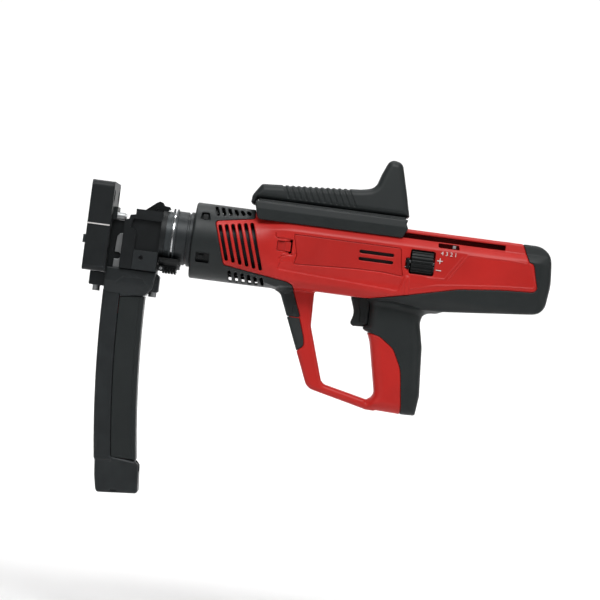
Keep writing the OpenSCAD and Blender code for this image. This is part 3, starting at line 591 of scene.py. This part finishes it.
def red_details(b, skin, left):
    """Cuts and raised work on the red flank; skin is the body's outside."""
    d = skin
    # dished band under the panel, with a ledge along its foot
    dish = 35.2 - 2.0 * smooth(-b.z, 7, 20)
    d = cut(d, both(b.side(VALLEY_SIDE), dish - b.w, 0), 0.8)
    # wavy edges of the cover over the release button
    upper = [(180.4, 16.6), (180.8, 13.4), (183, 12), (192.5, 12.2), (197.6, 11.6)]
    lower = [(200.6, -2.4), (194, -3.2), (188.4, -4.8), (186.4, -7.2), (188.2, -10), (192, -11.4),
             (201.4, -11.0)]
    for path in (upper, lower):
        d = cut(d, both(b.line(path, 0.42), -(skin + 1.6), 0), 0.3)
    # recess for the side panel, with a rounded rim
    d = cut(d, both(b.side(PANEL_SIDE), 31.7 - b.w, 0), 1.3)
    # ramp down to the release button, and the button's hole
    ramp = 36.9 - 3.4 * smooth(b.x, 183, 198)
    d = cut(d, both(b.slab(x=(183, 197.6), z=(-2.2, 11.4)), ramp - b.w, 0), 0.8)
    d = cut(d, both(b.slab(x=(183, 196.5), z=(0, 9.5)), 27 - b.w, 0), 0.4)
    # ridge behind the panel
    d = join(d, both(b.line([(311.2, -10.5), (312.2, -25.6)], 1.9), skin - 1.5, 1.2), 1.6)
    # vents
    d = cut(d, vent_fields(b), 0.8)
    # slot of the cocking carriage
    d = cut(d, both(b.slab(x=(166, 401.4), z=(28.3, 33.1)), 20 - b.w, 0), 0.6)
    # cartridge strip's way up
    d = cut(d, b.slab(x=(212.5, 224.5), w=(-9, 5.5), z=(-67, 60)), 0.4)
    if left:
        d = cut(d, both(b.side([(311.4, -5.4, 2), (335.4, -5.4, 2), (335.4, 18.2, 2), (311.4, 18.2, 2)]),
                        24 - b.w, 0), 0.7)
        d = cut(d, both(b.slab(x=(307.6, 312), z=(-1.2, 9.2)), 28 - b.w, 0), 0.5)
        window = [(337.4, 22.9, 0.4), (357.6, 22.9, 0.4), (356.6, 27.1, 0.4), (336.8, 27.1, 0.4)]
        d = cut(d, both(b.side(window), 20 - b.w, 0), 0.2)
    else:
        for x, z, seat in SCREWS:
            d = cut(d, both(b.pin(3.4, x, z), seat - b.w, 0), 0.5)
    # beads round the scale and along the rear of the flank
    beads = [[(350.4, -6.6), (366.8, 19.0), (407, 19.3), (424, 18.2)],
             [(314, -20.5), (340, -13.6), (362, -10.9), (400, -6.9), (432.4, -4.6), (434, -2), (427, 17.6)]]
    if left:
        beads.append([(330, -7.6), (346.6, -6.6), (361.8, 16.6)])
    for path in beads:
        d = join(d, both(b.line(path, 0.5), skin - 0.65, 0.3), 0.35)
    return d


def trigger_way(b):
    return join(b.slab(x=(257, 292), w=(-9, 6.6), z=(-37, -20)),
                b.slab(x=(257, 285.9), w=(-9, 6.6), z=(-62.8, -30)))


def housing_half(left):
    """One red half: the body outside the black zones, with a lip under each of them."""
    b = Block((118, 0, -142), (452, 38.5, 39), sizes().sample / MM, half=True)
    skin = body_field(b)
    d = red_details(b, skin, left)
    grip, sleeve = b.side(GRIP_ZONE), b.side(SLEEVE_ZONE)
    inserts = both(np.minimum(b.side(STRIP_ZONE), b.side(PAD_ZONE)), b.w - GUARD_HALF_W - 0.3)
    for zone in (sleeve, grip, inserts):
        d = cut(d, zone - SEAM, sizes().edge / MM)
    lips = np.maximum(skin + LIP, grip - 30)
    lips = np.minimum(lips, both(skin + LIP, -sleeve - 2.4, 0))
    lips = np.minimum(lips, both(skin + 2.6, inserts, 0))
    lips = np.maximum(lips, 119 - b.x)
    d = np.minimum(d, np.maximum(lips, np.minimum(np.minimum(grip, sleeve), inserts) - 1.5))
    hollow = np.maximum(skin + WALL, -(b.side(GUARD_SIDE) + 1.0))
    # the wall is thicker behind the dished band and where it carries the side panel's edge
    thick = np.minimum(np.abs(b.side(PANEL_SIDE)) - 2.0, b.side(VALLEY_SIDE) - 1.5)
    thick = np.maximum(thick, -b.side(PANEL_SIDE) - 2.0)
    hollow = np.maximum(hollow, -both(thick, 29.6 - b.w))
    d = np.maximum(d, -hollow)
    d = cut(d, b.slab(x=(212.5, 232), w=(-9, 5.5), z=(-67, -20)), 0.3)
    d = np.maximum(d, -both(b.slab(x=(166, 401.4), z=(28.3, 33.1)), 20 - b.w))
    for x, z, seat in () if left else SCREWS:
        d = np.maximum(d, -both(b.pin(3.4, x, z), seat - b.w, 0))
    d = cut(d, trigger_way(b), 0.4)
    d = both(d, -b.w, 0.25)
    name = "housing_shell_left" if left else "housing_shell_right"
    return b.mesh(d, name, mirror=left)


def grip_cover_half(left):
    """Black overmould of the rear cap and the grip's back."""
    b = Block((268, 0, -143), (452, 38.5, 39), sizes().sample / MM, half=True)
    skin = body_field(b)
    d = both(skin, b.side(GRIP_ZONE) + SEAM, 0.8)
    d = cut(d, both(b.slab(x=(166, 401.4), z=(28.3, 33.1)), 20 - b.w, 0), 0.5)
    if not left:
        for x, z, seat in SCREWS:
            d = cut(d, both(b.pin(3.4, x, z), seat - b.w, 0), 0.5)
    d = np.maximum(d, -(skin + LIP - 0.1))
    d = cut(d, trigger_way(b), 0.4)
    d = both(d, -b.w, 0.25)
    return b.mesh(d, "grip_cover_shell_left" if left else "grip_cover_shell_right", mirror=left)


def front_sleeve():
    """Vented sleeve, thinned where the red shell's lip runs under it."""
    b = Block((SLEEVE_X, -37.5, -48), (207, 37.5, 38), sizes().sample / MM)
    skin = body_field(b)
    zone = b.side(SLEEVE_ZONE)
    d = cut(both(skin, zone + SEAM, 0.8), sleeve_openings(b), 0.5)
    d = np.maximum(d, -np.maximum(skin + WALL, -sleeve_webs(b)))
    d = np.maximum(d, -np.maximum(skin + LIP - 0.1, -zone - 2.6))
    d = np.maximum(d, -both(b.side(STRIP_ZONE) - SEAM, b.w - GUARD_HALF_W - SEAM))
    d = np.maximum(d, -both(b.side(GUARD_SIDE) - SEAM, b.w - GUARD_HALF_W - SEAM))
    return b.mesh(d, "front_sleeve_shell")


def side_panel(left):
    """Panel in the flank, with two slits."""
    b = Block((196, 0, -13), (310, 36.5, 19), 0.6, half=True)
    dish = 35.2 - 0.5 * smooth(-b.z, 2, 10)
    d = both(b.side(PANEL_SIDE) + 0.12, b.w - dish, 0.5)
    d = cut(d, panel_slits(b), 0.3)
    d = both(d, 31.9 - b.w, 0.2)
    return b.mesh(d, "side_panel_moulding_left" if left else "side_panel_moulding_right", mirror=left)


def slit_shade_plate(left):
    """Dark plate behind the side panel's slits: painted shade that makes the slits read black."""
    b = Block((256, 0, -4), (302, 32, 16), 0.6, half=True)
    plate = [(258, -2, 2), (300, -2, 2), (300, 14.5, 2), (258, 14.5, 2)]
    d = both(b.side(plate), both(b.w - 31.4, 30.2 - b.w), 0.4)
    for x in (260.5, 297.5):
        d = join(d, both(b.pin(1.4, x, 6.1), both(b.w - 31.4, 29.4 - b.w), 0.3), 0.4)
    piece = b.mesh(d, "slit_shade_plate_left" if left else "slit_shade_plate_right", mirror=left)
    piece.data.materials.append(finish("black_pad"))
    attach(piece, "housing")
    return piece


def guard_insert(name, zone):
    """Black moulding let into the front of the guard, on a red core."""
    b = Block((184, -13, -100), (224, 13, -26), 0.5)
    skin = body_field(b)
    d = both(skin, b.side(zone) + 0.12, 0.7)
    d = both(d, b.w - GUARD_HALF_W - 0.2, 2.5)
    d = np.maximum(d, -(skin + 2.45))
    d = cut(d, b.slab(x=(212.5, 232), w=(-9, 5.5), z=(-67, -20)), 0.3)
    if name.startswith("guard_strip"):
        # hollow in the strip's back just above the pad
        d = cut(d, both(b.side([(205.5, -58.5, 2), (211.5, -60, 2), (206.5, -44, 1.5)]), 10.6 - b.w, 0), 0.8)
    return b.mesh(d, name)


# ---------------------------------------------------------------- charging handle

REST_SIDE = [
    (152.4, 43.2, 1.2), (156.6, 41.2, 1), (158.5, 47.8, 0.5), (306.3, 47.8, 1.2), (300.8, 71, 10),
    (293.4, 99.5, 7), (281, 102.4, 7), (274.8, 87, 14), (270.2, 72, 12), (256.5, 69.1, 8), (160.7, 62.2, 4),
    (153.2, 50.5, 7)]
SKIRT_SIDE = [
    (161, 27.5, 4.5), (301.5, 27.5, 1.5), (306, 37, 1.5), (304, 41.5, 1), (305.4, 45.6, 1),
    (157.4, 45.6, 0.6), (157, 42, 2)]


def hand_rest():
    """Ribbed rest with its upright fin, hollow below."""
    b = Block((152, -27.5, 41), (307, 27.5, 100), 0.6)
    flank = 27 - 0.13 * np.maximum(b.z - 50, 0) - 1.5 * smooth(-b.x, -190, -152)
    skin = both(b.side(REST_SIDE), b.w - flank, 6.5)
    d = skin
    for i in range(12):
        foot = 187.2 + 5.85 * i
        rib = b.side([(foot, 51.5, 1), (foot + 2.6, 51.5, 1), (foot - 12.4, 80, 0), (foot - 15, 80, 0)])
        d = cut(d, both(rib, -(skin + 0.9), 0.3), 0.7)
    inner = both(b.side([(164, 40, 0), (299, 40, 0), (296.5, 68, 0), (289.5, 92, 3), (284.5, 92.5, 3),
                         (277, 80, 6), (270.5, 65, 6), (256, 62.6, 0), (164, 56, 3)]), b.w - flank + 3, 3)
    d = np.maximum(d, -np.maximum(inner, 50.4 - b.z))
    return b.mesh(d, "charging_hand_rest")


def skirt():
    """Smooth saddle under the rest, straddling the body."""
    b = Block((156, -33.6, 27), (307, 33.6, 48), 0.6)
    flank = 33.3 - 0.22 * np.maximum(b.z - 38, 0)
    d = both(b.side(SKIRT_SIDE), b.w - flank, 1.6)
    ledge = [(160, 40, 0), (303, 40, 0), (303, 47.7, 0), (160, 47.7, 0)]
    d = join(d, both(b.side(ledge), b.w - 25.5, 0.5), 0.6)
    d = np.maximum(d, -b.slab(w=(-9, 30.7), z=(10, 37.5)))
    d = np.maximum(d, -b.slab(x=(163, 298), w=(-9, 24), z=(10, 44)))
    return b.mesh(d, "charging_skirt")


# ---------------------------------------------------------------- magazine

MAG_CENTRE = (1245.0, -50.0)
MAG_OUTER, MAG_SPINE, MAG_INNER = 1224.0, 1207.0, 1183.0
MAG_HALF_W = 15.0
HINGE = (72.5, -226.0)
DOOR_SWING = 165.7          # the door's top edge swings inside this radius about the hinge


def mag_radius(b):
    return np.hypot(b.x - MAG_CENTRE[0], b.z - MAG_CENTRE[1])


def mag_band(b, inner, outer, low, high):
    r = mag_radius(b)
    return both(both(inner - r, r - outer), both(low - b.z, b.z - high))


def magazine_case():
    """Front spine and flared base of the magazine."""
    b = Block((20, -15.5, -256), (81, 15.5, -57), 0.55)
    r = mag_radius(b)
    spine = both(r - MAG_OUTER, b.w - MAG_HALF_W, 4.5)
    spine = both(spine, both(MAG_SPINE + 0.35 - r, np.maximum(-222 - b.z, b.z + 58.0)), 0.5)
    base = b.side([(38.4, -254.5, 5), (80, -251, 3), (77.6, -224, 2), (74, -220.2, 1.5), (52, -217.4, 2),
                   (32.9, -216.6, 0), (34.5, -238, 0)])
    base = both(base, b.w - MAG_HALF_W, 3.2)
    base = both(base, r - MAG_OUTER, 3)
    d = join(spine, base, 1.5)
    d = np.maximum(d, -both(mag_band(b, MAG_SPINE - 5, MAG_OUTER - 2.5, -240, -40), b.w - 12))
    # room for the door's foot and its knuckle
    d = np.maximum(d, -both(mag_band(b, MAG_INNER - 3, MAG_SPINE + 0.2, -219.4, -200), b.w - 14.1))
    d = np.maximum(d, -b.slab(x=(67.5, 92), w=(-9, 12.0), z=(-231, -216)))
    d = cut(d, both(b.slab(x=(52.4, 59.6), z=(-251.6, -250)), 13 - b.w, 0), 0.3)
    return b.mesh(d, "magazine_spine")


def magazine_door():
    """Rear channel of the magazine, hinged at its foot."""
    b = Block((36, -14.5, -231), (78, 14.5, -59), 0.5)
    half_w = 13.8
    r = mag_radius(b)
    shell = both(MAG_INNER - r, b.w - half_w, 2.6)
    shell = both(shell, both(r - MAG_SPINE, np.maximum(-218.8 - b.z, b.pin(DOOR_SWING, *HINGE))), 0.4)
    d = np.maximum(shell, -both(mag_band(b, MAG_INNER + 2.2, MAG_SPINE + 3, -230, -50), b.w - half_w + 2))
    knuckle = np.minimum(b.pin(4, *HINGE), b.slab(x=(68.6, 73.4), z=(-226, -216.2)))
    d = join(d, both(knuckle, b.w - 11.3, 0.5), 0.4)
    d = np.maximum(d, -b.pin(1.6, *HINGE))
    # fine groove down each side near the back
    d = cut(d, both(np.abs(r - MAG_INNER - 4.6) - 0.3, 13.2 - b.w, 0), 0.3)
    return b.mesh(d, "magazine_rear_door")


def collar():
    """Flared collar and clamp ears at the magazine's head."""
    b = Block((5, -19.5, -67), (75, 19.5, -35.5), 0.5)
    r = mag_radius(b)
    shape = b.side([(21.6, -36, 0), (21.6, -58.6, 1.5), (27, -61.4, 3), (61, -61.4, 3), (68.5, -52, 3),
                    (70.5, -36, 0)])
    flank = 19 - 0.28 * np.maximum(-49 - b.z, 0)
    d = both(shape, b.w - flank, 1.6)
    # lip above the swinging door
    lip = both(both(MAG_INNER - r, r - MAG_SPINE), both(-66 - b.z, b.z + 58))
    d = join(d, both(lip, b.w - MAG_HALF_W, 0.6), 0.5)
    front_ear = [(6, -42.1, 0.8), (6, -55.6, 1.5), (24, -55.6, 0), (24, -42.1, 0)]
    rear_ear = [(60, -38.1, 0), (60, -55.6, 0), (74, -55.6, 1.5), (74, -40, 2), (71.5, -38.1, 1)]
    for ear in (front_ear, rear_ear):
        d = join(d, both(b.side(ear), b.w - 8, 1.0), 1.5)
    d = np.maximum(d, -both(mag_band(b, MAG_INNER + 2, MAG_OUTER - 2.5, -75, -45), b.w - 12))
    d = np.maximum(d, -b.slab(x=(27, 62), w=(-9, 8.5), z=(-46, -30)))
    d = np.maximum(d, -both(both(MAG_SPINE + 0.1 - r, b.z + 57.8), b.w - 15.2))
    d = np.maximum(d, -b.pin(DOOR_SWING + 0.35, *HINGE))
    for x in (13.5, 68.5):
        d = np.maximum(d, -(np.hypot(b.x - x, b.y) - 2.1))
    d = np.maximum(d, -both(np.hypot(b.x - 68.5, b.y) - 4.3, b.z + 55.6))
    # waisted flank between the clamp and the flare
    waist = [(33, -50, 2), (39, -44, 2), (58, -44, 2), (62, -50, 2), (62, -53, 1), (33, -53, 1)]
    d = cut(d, both(b.side(waist), 18.5 - b.w, 0), 0.8)
    # side guides that reach into the door's channel and close the view through the gap
    guides = both(b.slab(x=(38, 60.8), w=(8.8, 11.4), z=(-64, -56)),
                  both(MAG_INNER + 2.6 - r, r - MAG_SPINE + 1))
    d = join(d, guides, 0.3)
    return b.mesh(d, "magazine_clamp_collar")


def wedge_pin():
    """Slotted pin that holds the sight wedge."""
    b = Block((61, -9.5, 21), (67, 9.5, 28), 0.3)
    d = both(b.pin(1.74, 64, 24.4), b.w - 8.7, 0.3)
    d = cut(d, both(b.line([(62, 23.2), (66, 25.6)], 0.3), 8.0 - b.w), 0.1)
    piece = b.mesh(d, "sight_wedge_pin")
    piece.data.materials.append(finish("nose_black"))
    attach(piece, "nose")
    return piece


# ---------------------------------------------------------------- trigger

def trigger_blade():
    """Smooth trigger with a hollowed front and a hooked foot."""
    b = Block((259, -6.5, -63), (281, 6.5, -29), 0.4)
    shape = b.side([(265.6, -62.7, 2.4), (275.5, -62.2, 1), (280.6, -60, 0), (280.6, -30, 0), (260.6, -30, 0),
                    (260.6, -36, 3), (265.7, -50, 16), (262.4, -60.5, 3)])
    d = both(shape, b.w - 5.9, 2.6)
    # side flutes that leave a raised front rail
    d = cut(d, both(b.side([(271, -58, 2), (277.6, -58, 2), (277.6, -32, 0), (268.4, -32, 0), (268.4, -40, 4),
                            (271.4, -49, 10)]), 5.0 - b.w, 0), 0.5)
    way = both(np.hypot(b.y, b.z + 48) - 3.6, 268 - b.x)
    return b.mesh(np.maximum(d, -way), "trigger_blade")


# ---------------------------------------------------------------- kept frame nodes

BEVEL_SKIP = {
    "probe_spring", "trigger_spring", "firing_spring", "recoil_spring", "piston_rings", "lock_rings"}


def finish_kept_nodes():
    """Finish and broken edges for every node that keeps its machined shape."""
    for name, node in frame["nodes"].items():
        node.data.materials.clear()
        node.data.materials.append(finish(slot_of(name)))
        for polygon in node.data.polygons:
            polygon.material_index = 0
        weld = node.modifiers.new("weld", "WELD")
        weld.merge_threshold = 0.00001
        if name not in BEVEL_SKIP:
            bevel = node.modifiers.new("broken_edges", "BEVEL")
            bevel.width = sizes().bevel
            bevel.segments = 2
            bevel.limit_method = "ANGLE"
            bevel.angle_limit = math.radians(34)
            bevel.use_clamp_overlap = True
            bevel.harden_normals = False
        normals = node.modifiers.new("shading", "WEIGHTED_NORMAL")
        normals.keep_sharp = True


# ---------------------------------------------------------------- dial marks

def mark(name, text, x, z, y, size):
    """Raised printed figure on the left flank."""
    curve = bpy.data.curves.new(name, "FONT")
    curve.body = text
    curve.size = size * MM
    curve.extrude = 0.08 * MM
    curve.align_x = "CENTER"
    curve.align_y = "CENTER"
    piece = bpy.data.objects.new(name, curve)
    bpy.context.scene.collection.objects.link(piece)
    piece.matrix_world = Matrix.Translation(Vector((x, y, z)) * MM) @ Matrix.Rotation(math.pi / 2, 4, "X")
    curve.materials.append(finish("white_ink"))
    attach(piece, "housing")
    return piece


def sign(name, strokes, half_width, w, body="housing"):
    """Raised printed sign of straight strokes on a left-hand face at distance w."""
    xs = [p[0] for stroke in strokes for p in stroke]
    zs = [p[1] for stroke in strokes for p in stroke]
    b = Block((min(xs) - 1, w - 0.5, min(zs) - 1), (max(xs) + 1, w + 0.5, max(zs) + 1), 0.15)
    b.w = np.abs(b.y)
    d = np.float32(FAR)
    for stroke in strokes:
        d = np.minimum(d, b.line(stroke, half_width))
    piece = b.mesh(both(both(d, b.w - w - 0.14), w - 0.2 - b.w), name, mirror=True)
    piece.data.materials.append(finish("white_ink"))
    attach(piece, body)
    return piece


# ---------------------------------------------------------------- operators

class NAILGUN_OT_housing(bpy.types.Operator):
    """Build the two red housing halves"""
    bl_idname = "nail_gun.housing"
    bl_label = "Red Housing"

    def execute(self, context):
        stands_for(housing_half(True), "housing_left")
        stands_for(housing_half(False), "housing_right")
        return {"FINISHED"}


class NAILGUN_OT_side_panels(bpy.types.Operator):
    """Build the two side panels"""
    bl_idname = "nail_gun.side_panels"
    bl_label = "Side Panels"

    def execute(self, context):
        stands_for(side_panel(True), "side_panel_left")
        stands_for(side_panel(False), "side_panel_right")
        # dark plates behind the slits stand in for the shade inside them (painted shade)
        slit_shade_plate(True)
        slit_shade_plate(False)
        return {"FINISHED"}


class NAILGUN_OT_grip_covers(bpy.types.Operator):
    """Build the black overmould of the rear cap and grip"""
    bl_idname = "nail_gun.grip_covers"
    bl_label = "Grip Covers"

    def execute(self, context):
        stands_for(grip_cover_half(True), "grip_cover_left")
        stands_for(grip_cover_half(False), "grip_cover_right")
        return {"FINISHED"}


class NAILGUN_OT_front_sleeve(bpy.types.Operator):
    """Build the vented front sleeve"""
    bl_idname = "nail_gun.front_sleeve"
    bl_label = "Front Sleeve"

    def execute(self, context):
        stands_for(front_sleeve(), "front_sleeve")
        return {"FINISHED"}


class NAILGUN_OT_guard_inserts(bpy.types.Operator):
    """Build the strip and the pad on the front of the guard"""
    bl_idname = "nail_gun.guard_inserts"
    bl_label = "Guard Strip and Pad"

    def execute(self, context):
        stands_for(guard_insert("guard_strip_moulding", STRIP_ZONE), "guard_strip")
        stands_for(guard_insert("guard_pad_moulding", PAD_ZONE), "guard_pad")
        return {"FINISHED"}


class NAILGUN_OT_charging_handle(bpy.types.Operator):
    """Build the ribbed rest and the skirt of the charging handle"""
    bl_idname = "nail_gun.charging_handle"
    bl_label = "Charging Handle"

    def execute(self, context):
        stands_for(hand_rest(), "handle_rest")
        stands_for(skirt(), "handle_skirt")
        return {"FINISHED"}


class NAILGUN_OT_magazine(bpy.types.Operator):
    """Build the magazine's case, door and collar"""
    bl_idname = "nail_gun.magazine"
    bl_label = "Magazine"

    def execute(self, context):
        stands_for(magazine_case(), "magazine_case")
        stands_for(magazine_door(), "magazine_door", slot="black_shell")
        stands_for(collar(), "magazine_collar")
        wedge_pin()
        return {"FINISHED"}


class NAILGUN_OT_trigger(bpy.types.Operator):
    """Build the trigger"""
    bl_idname = "nail_gun.trigger"
    bl_label = "Trigger"

    def execute(self, context):
        stands_for(trigger_blade(), "trigger", slot="black_shell")
        return {"FINISHED"}


class NAILGUN_OT_dial_marks(bpy.types.Operator):
    """Print the regulator's figures and signs"""
    bl_idname = "nail_gun.dial_marks"
    bl_label = "Dial Marks"

    def execute(self, context):
        for figure, x in (("4", 341.4), ("3", 345.8), ("2", 350.2), ("1", 354.4)):
            mark("scale_figure_" + figure, figure, x, 17.6, -36.6, 5.4)
        sign("scale_plus", [[(337.7, 10.2), (342.5, 10.2)], [(340.1, 7.8), (340.1, 12.6)]], 0.42, 36.5)
        sign("scale_minus", [[(337.5, 1.0), (341.9, 1.0)]], 0.42, 36.5)
        # plain bright index line across the stop block
        sign("stop_block_index", [[(0.8, 2.8), (21.2, 2.8)]], 0.6, 44.0, "nose")
        return {"FINISHED"}


class NAILGUN_OT_machined_parts(bpy.types.Operator):
    """Finish the machined and moulded parts that keep their frame shape"""
    bl_idname = "nail_gun.machined_parts"
    bl_label = "Machined Parts"

    def execute(self, context):
        finish_kept_nodes()
        return {"FINISHED"}


class NAILGUN_OT_stage(bpy.types.Operator):
    """Set the floor, the lights and the camera"""
    bl_idname = "nail_gun.stage"
    bl_label = "Studio"

    def execute(self, context):
        cove()
        lights()
        camera()
        return {"FINISHED"}


# ---------------------------------------------------------------- studio

TILT = math.radians(7.5)             # roll that drops the tool's rear
AIM = (211.7, -44.4)                 # x and z under the middle of the frame
FIELD_WIDTH = 577.5                  # width that the camera takes in at the tool
SENSOR = 36                          # width of the camera's sensor


def cove():
    """Pale floor that curves up into a wall behind the tool, and is clear from its far side."""
    floor = CAD_BOX[0][2] - 0.12
    back, bend, reach = 1.6, 0.6, 4.0
    profile = [(-reach, floor), (back - bend, floor)]
    for k in range(1, 13):
        a = math.radians(90 * k / 12)
        profile.append((back - bend + bend * math.sin(a), floor + bend - bend * math.cos(a)))
    profile.append((back, floor + reach))
    verts = [(x, y, z) for x in (-reach, reach + 0.4) for y, z in profile]
    n = len(profile)
    faces = [(i, i + n, i + n + 1, i + 1) for i in range(n - 1)]
    mesh = bpy.data.meshes.new("studio_floor")
    mesh.from_pydata(verts, [], faces)
    mesh.polygons.foreach_set("use_smooth", [True] * len(faces))
    piece = bpy.data.objects.new("studio_floor", mesh)
    bpy.context.scene.collection.objects.link(piece)
    n = Nodes("studio_floor")
    place = n.add("TexCoord").outputs["Object"]
    cloud = n.spread(n.noise(place, 1.5, 2.0), 0.3, 0.7)
    pale = tuple(colours().floor)
    n.link(n.blend(cloud, scaled(pale, 0.99), pale), n.shader.inputs["Base Color"])
    n.shader.inputs["Roughness"].default_value = 0.9
    n.shader.inputs["Specular IOR Level"].default_value = 0.1
    one_sided = n.add("MixShader")
    n.link(n.add("NewGeometry").outputs["Backfacing"], one_sided.inputs[0])
    n.link(n.shader.outputs[0], one_sided.inputs[1])
    n.link(n.add("BsdfTransparent").outputs[0], one_sided.inputs[2])
    n.link(one_sided.outputs[0], n.tree.nodes["Material Output"].inputs["Surface"])
    mesh.materials.append(n.material)


def lamp(name, place, aim, width, height, power, beam=180):
    light = bpy.data.lights.new(name, "AREA")
    light.shape = "RECTANGLE"
    light.size, light.size_y = width, height
    light.energy = power
    light.spread = math.radians(beam)
    piece = bpy.data.objects.new(name, light)
    bpy.context.scene.collection.objects.link(piece)
    piece.visible_camera = False
    piece.location = place
    piece.rotation_euler = (Vector(aim) - Vector(place)).to_track_quat("-Z", "Y").to_euler()


def lights():
    world = bpy.data.worlds.new("studio_air")
    bpy.context.scene.world = world
    world.use_nodes = True
    world.node_tree.nodes["Background"].inputs["Color"].default_value = (1, 1, 1, 1)
    world.node_tree.nodes["Background"].inputs["Strength"].default_value = 0.17
    middle = (AIM[0] * MM, 0, AIM[1] * MM)
    lamp("top_softbox", (0.2, -1.25, 1.45), middle, 1.3, 0.8, 27)
    lamp("left_softbox", (-1.3, -1.5, 0.6), middle, 0.7, 1.2, 4)
    lamp("rear_softbox", (1.8, -0.7, 0.5), middle, 0.6, 1.2, 4)
    # these two only brighten the floor and the wall
    lamp("wall_wash", (0.2, 0.75, 2.6), (0.2, 1.6, -0.2), 3.6, 0.5, 32, 90)
    lamp("wall_rise", (0.2, 0.75, -0.38), (0.2, 1.6, 0.6), 3.6, 0.4, 5, 110)


def camera():
    lens = bpy.data.cameras.new("camera")
    piece = bpy.data.objects.new("camera", lens)
    bpy.context.scene.collection.objects.link(piece)
    reach = sizes().reach
    lens.sensor_width = SENSOR
    lens.lens = SENSOR * reach / (FIELD_WIDTH * MM)
    lens.clip_end = 50
    right = Vector((math.cos(TILT), 0, math.sin(TILT)))
    up = Vector((-math.sin(TILT), 0, math.cos(TILT)))
    back = Vector((0, -1, 0))
    turn = Matrix((right, up, back)).transposed().to_4x4()
    piece.matrix_world = Matrix.Translation((AIM[0] * MM, -reach - 0.03, AIM[1] * MM)) @ turn
    bpy.context.scene.camera = piece
    bpy.context.scene.view_settings.view_transform = "Standard"


# ---------------------------------------------------------------- panel and run

OPERATORS = (
    NAILGUN_OT_housing, NAILGUN_OT_side_panels, NAILGUN_OT_grip_covers, NAILGUN_OT_front_sleeve,
    NAILGUN_OT_guard_inserts, NAILGUN_OT_charging_handle, NAILGUN_OT_magazine, NAILGUN_OT_trigger,
    NAILGUN_OT_dial_marks, NAILGUN_OT_machined_parts, NAILGUN_OT_stage)


class NAILGUN_PT_panel(bpy.types.Panel):
    """Sizes, colours and build steps of the nail gun"""
    bl_label = "Nail Gun"
    bl_idname = "NAILGUN_PT_panel"
    bl_space_type = "VIEW_3D"
    bl_region_type = "UI"
    bl_category = "Nail Gun"

    def draw(self, context):
        for group in (context.scene.nail_gun_colours, context.scene.nail_gun_sizes):
            for key in group.__annotations__:
                self.layout.prop(group, key)
        for operator in OPERATORS:
            self.layout.operator(operator.bl_idname)


CLASSES = (NailGunColours, NailGunSizes) + OPERATORS + (NAILGUN_PT_panel,)


def register():
    for item in CLASSES:
        bpy.utils.register_class(item)
    bpy.types.Scene.nail_gun_colours = bpy.props.PointerProperty(type=NailGunColours)
    bpy.types.Scene.nail_gun_sizes = bpy.props.PointerProperty(type=NailGunSizes)


def unregister():
    del bpy.types.Scene.nail_gun_sizes
    del bpy.types.Scene.nail_gun_colours
    for item in reversed(CLASSES):
        bpy.utils.unregister_class(item)


def main():
    register()
    for operator in OPERATORS:
        group, name = operator.bl_idname.split(".")
        if getattr(getattr(bpy.ops, group), name)() != {"FINISHED"}:
            raise RuntimeError(operator.bl_label + " was not built")


if __name__ == "__main__":
    main()
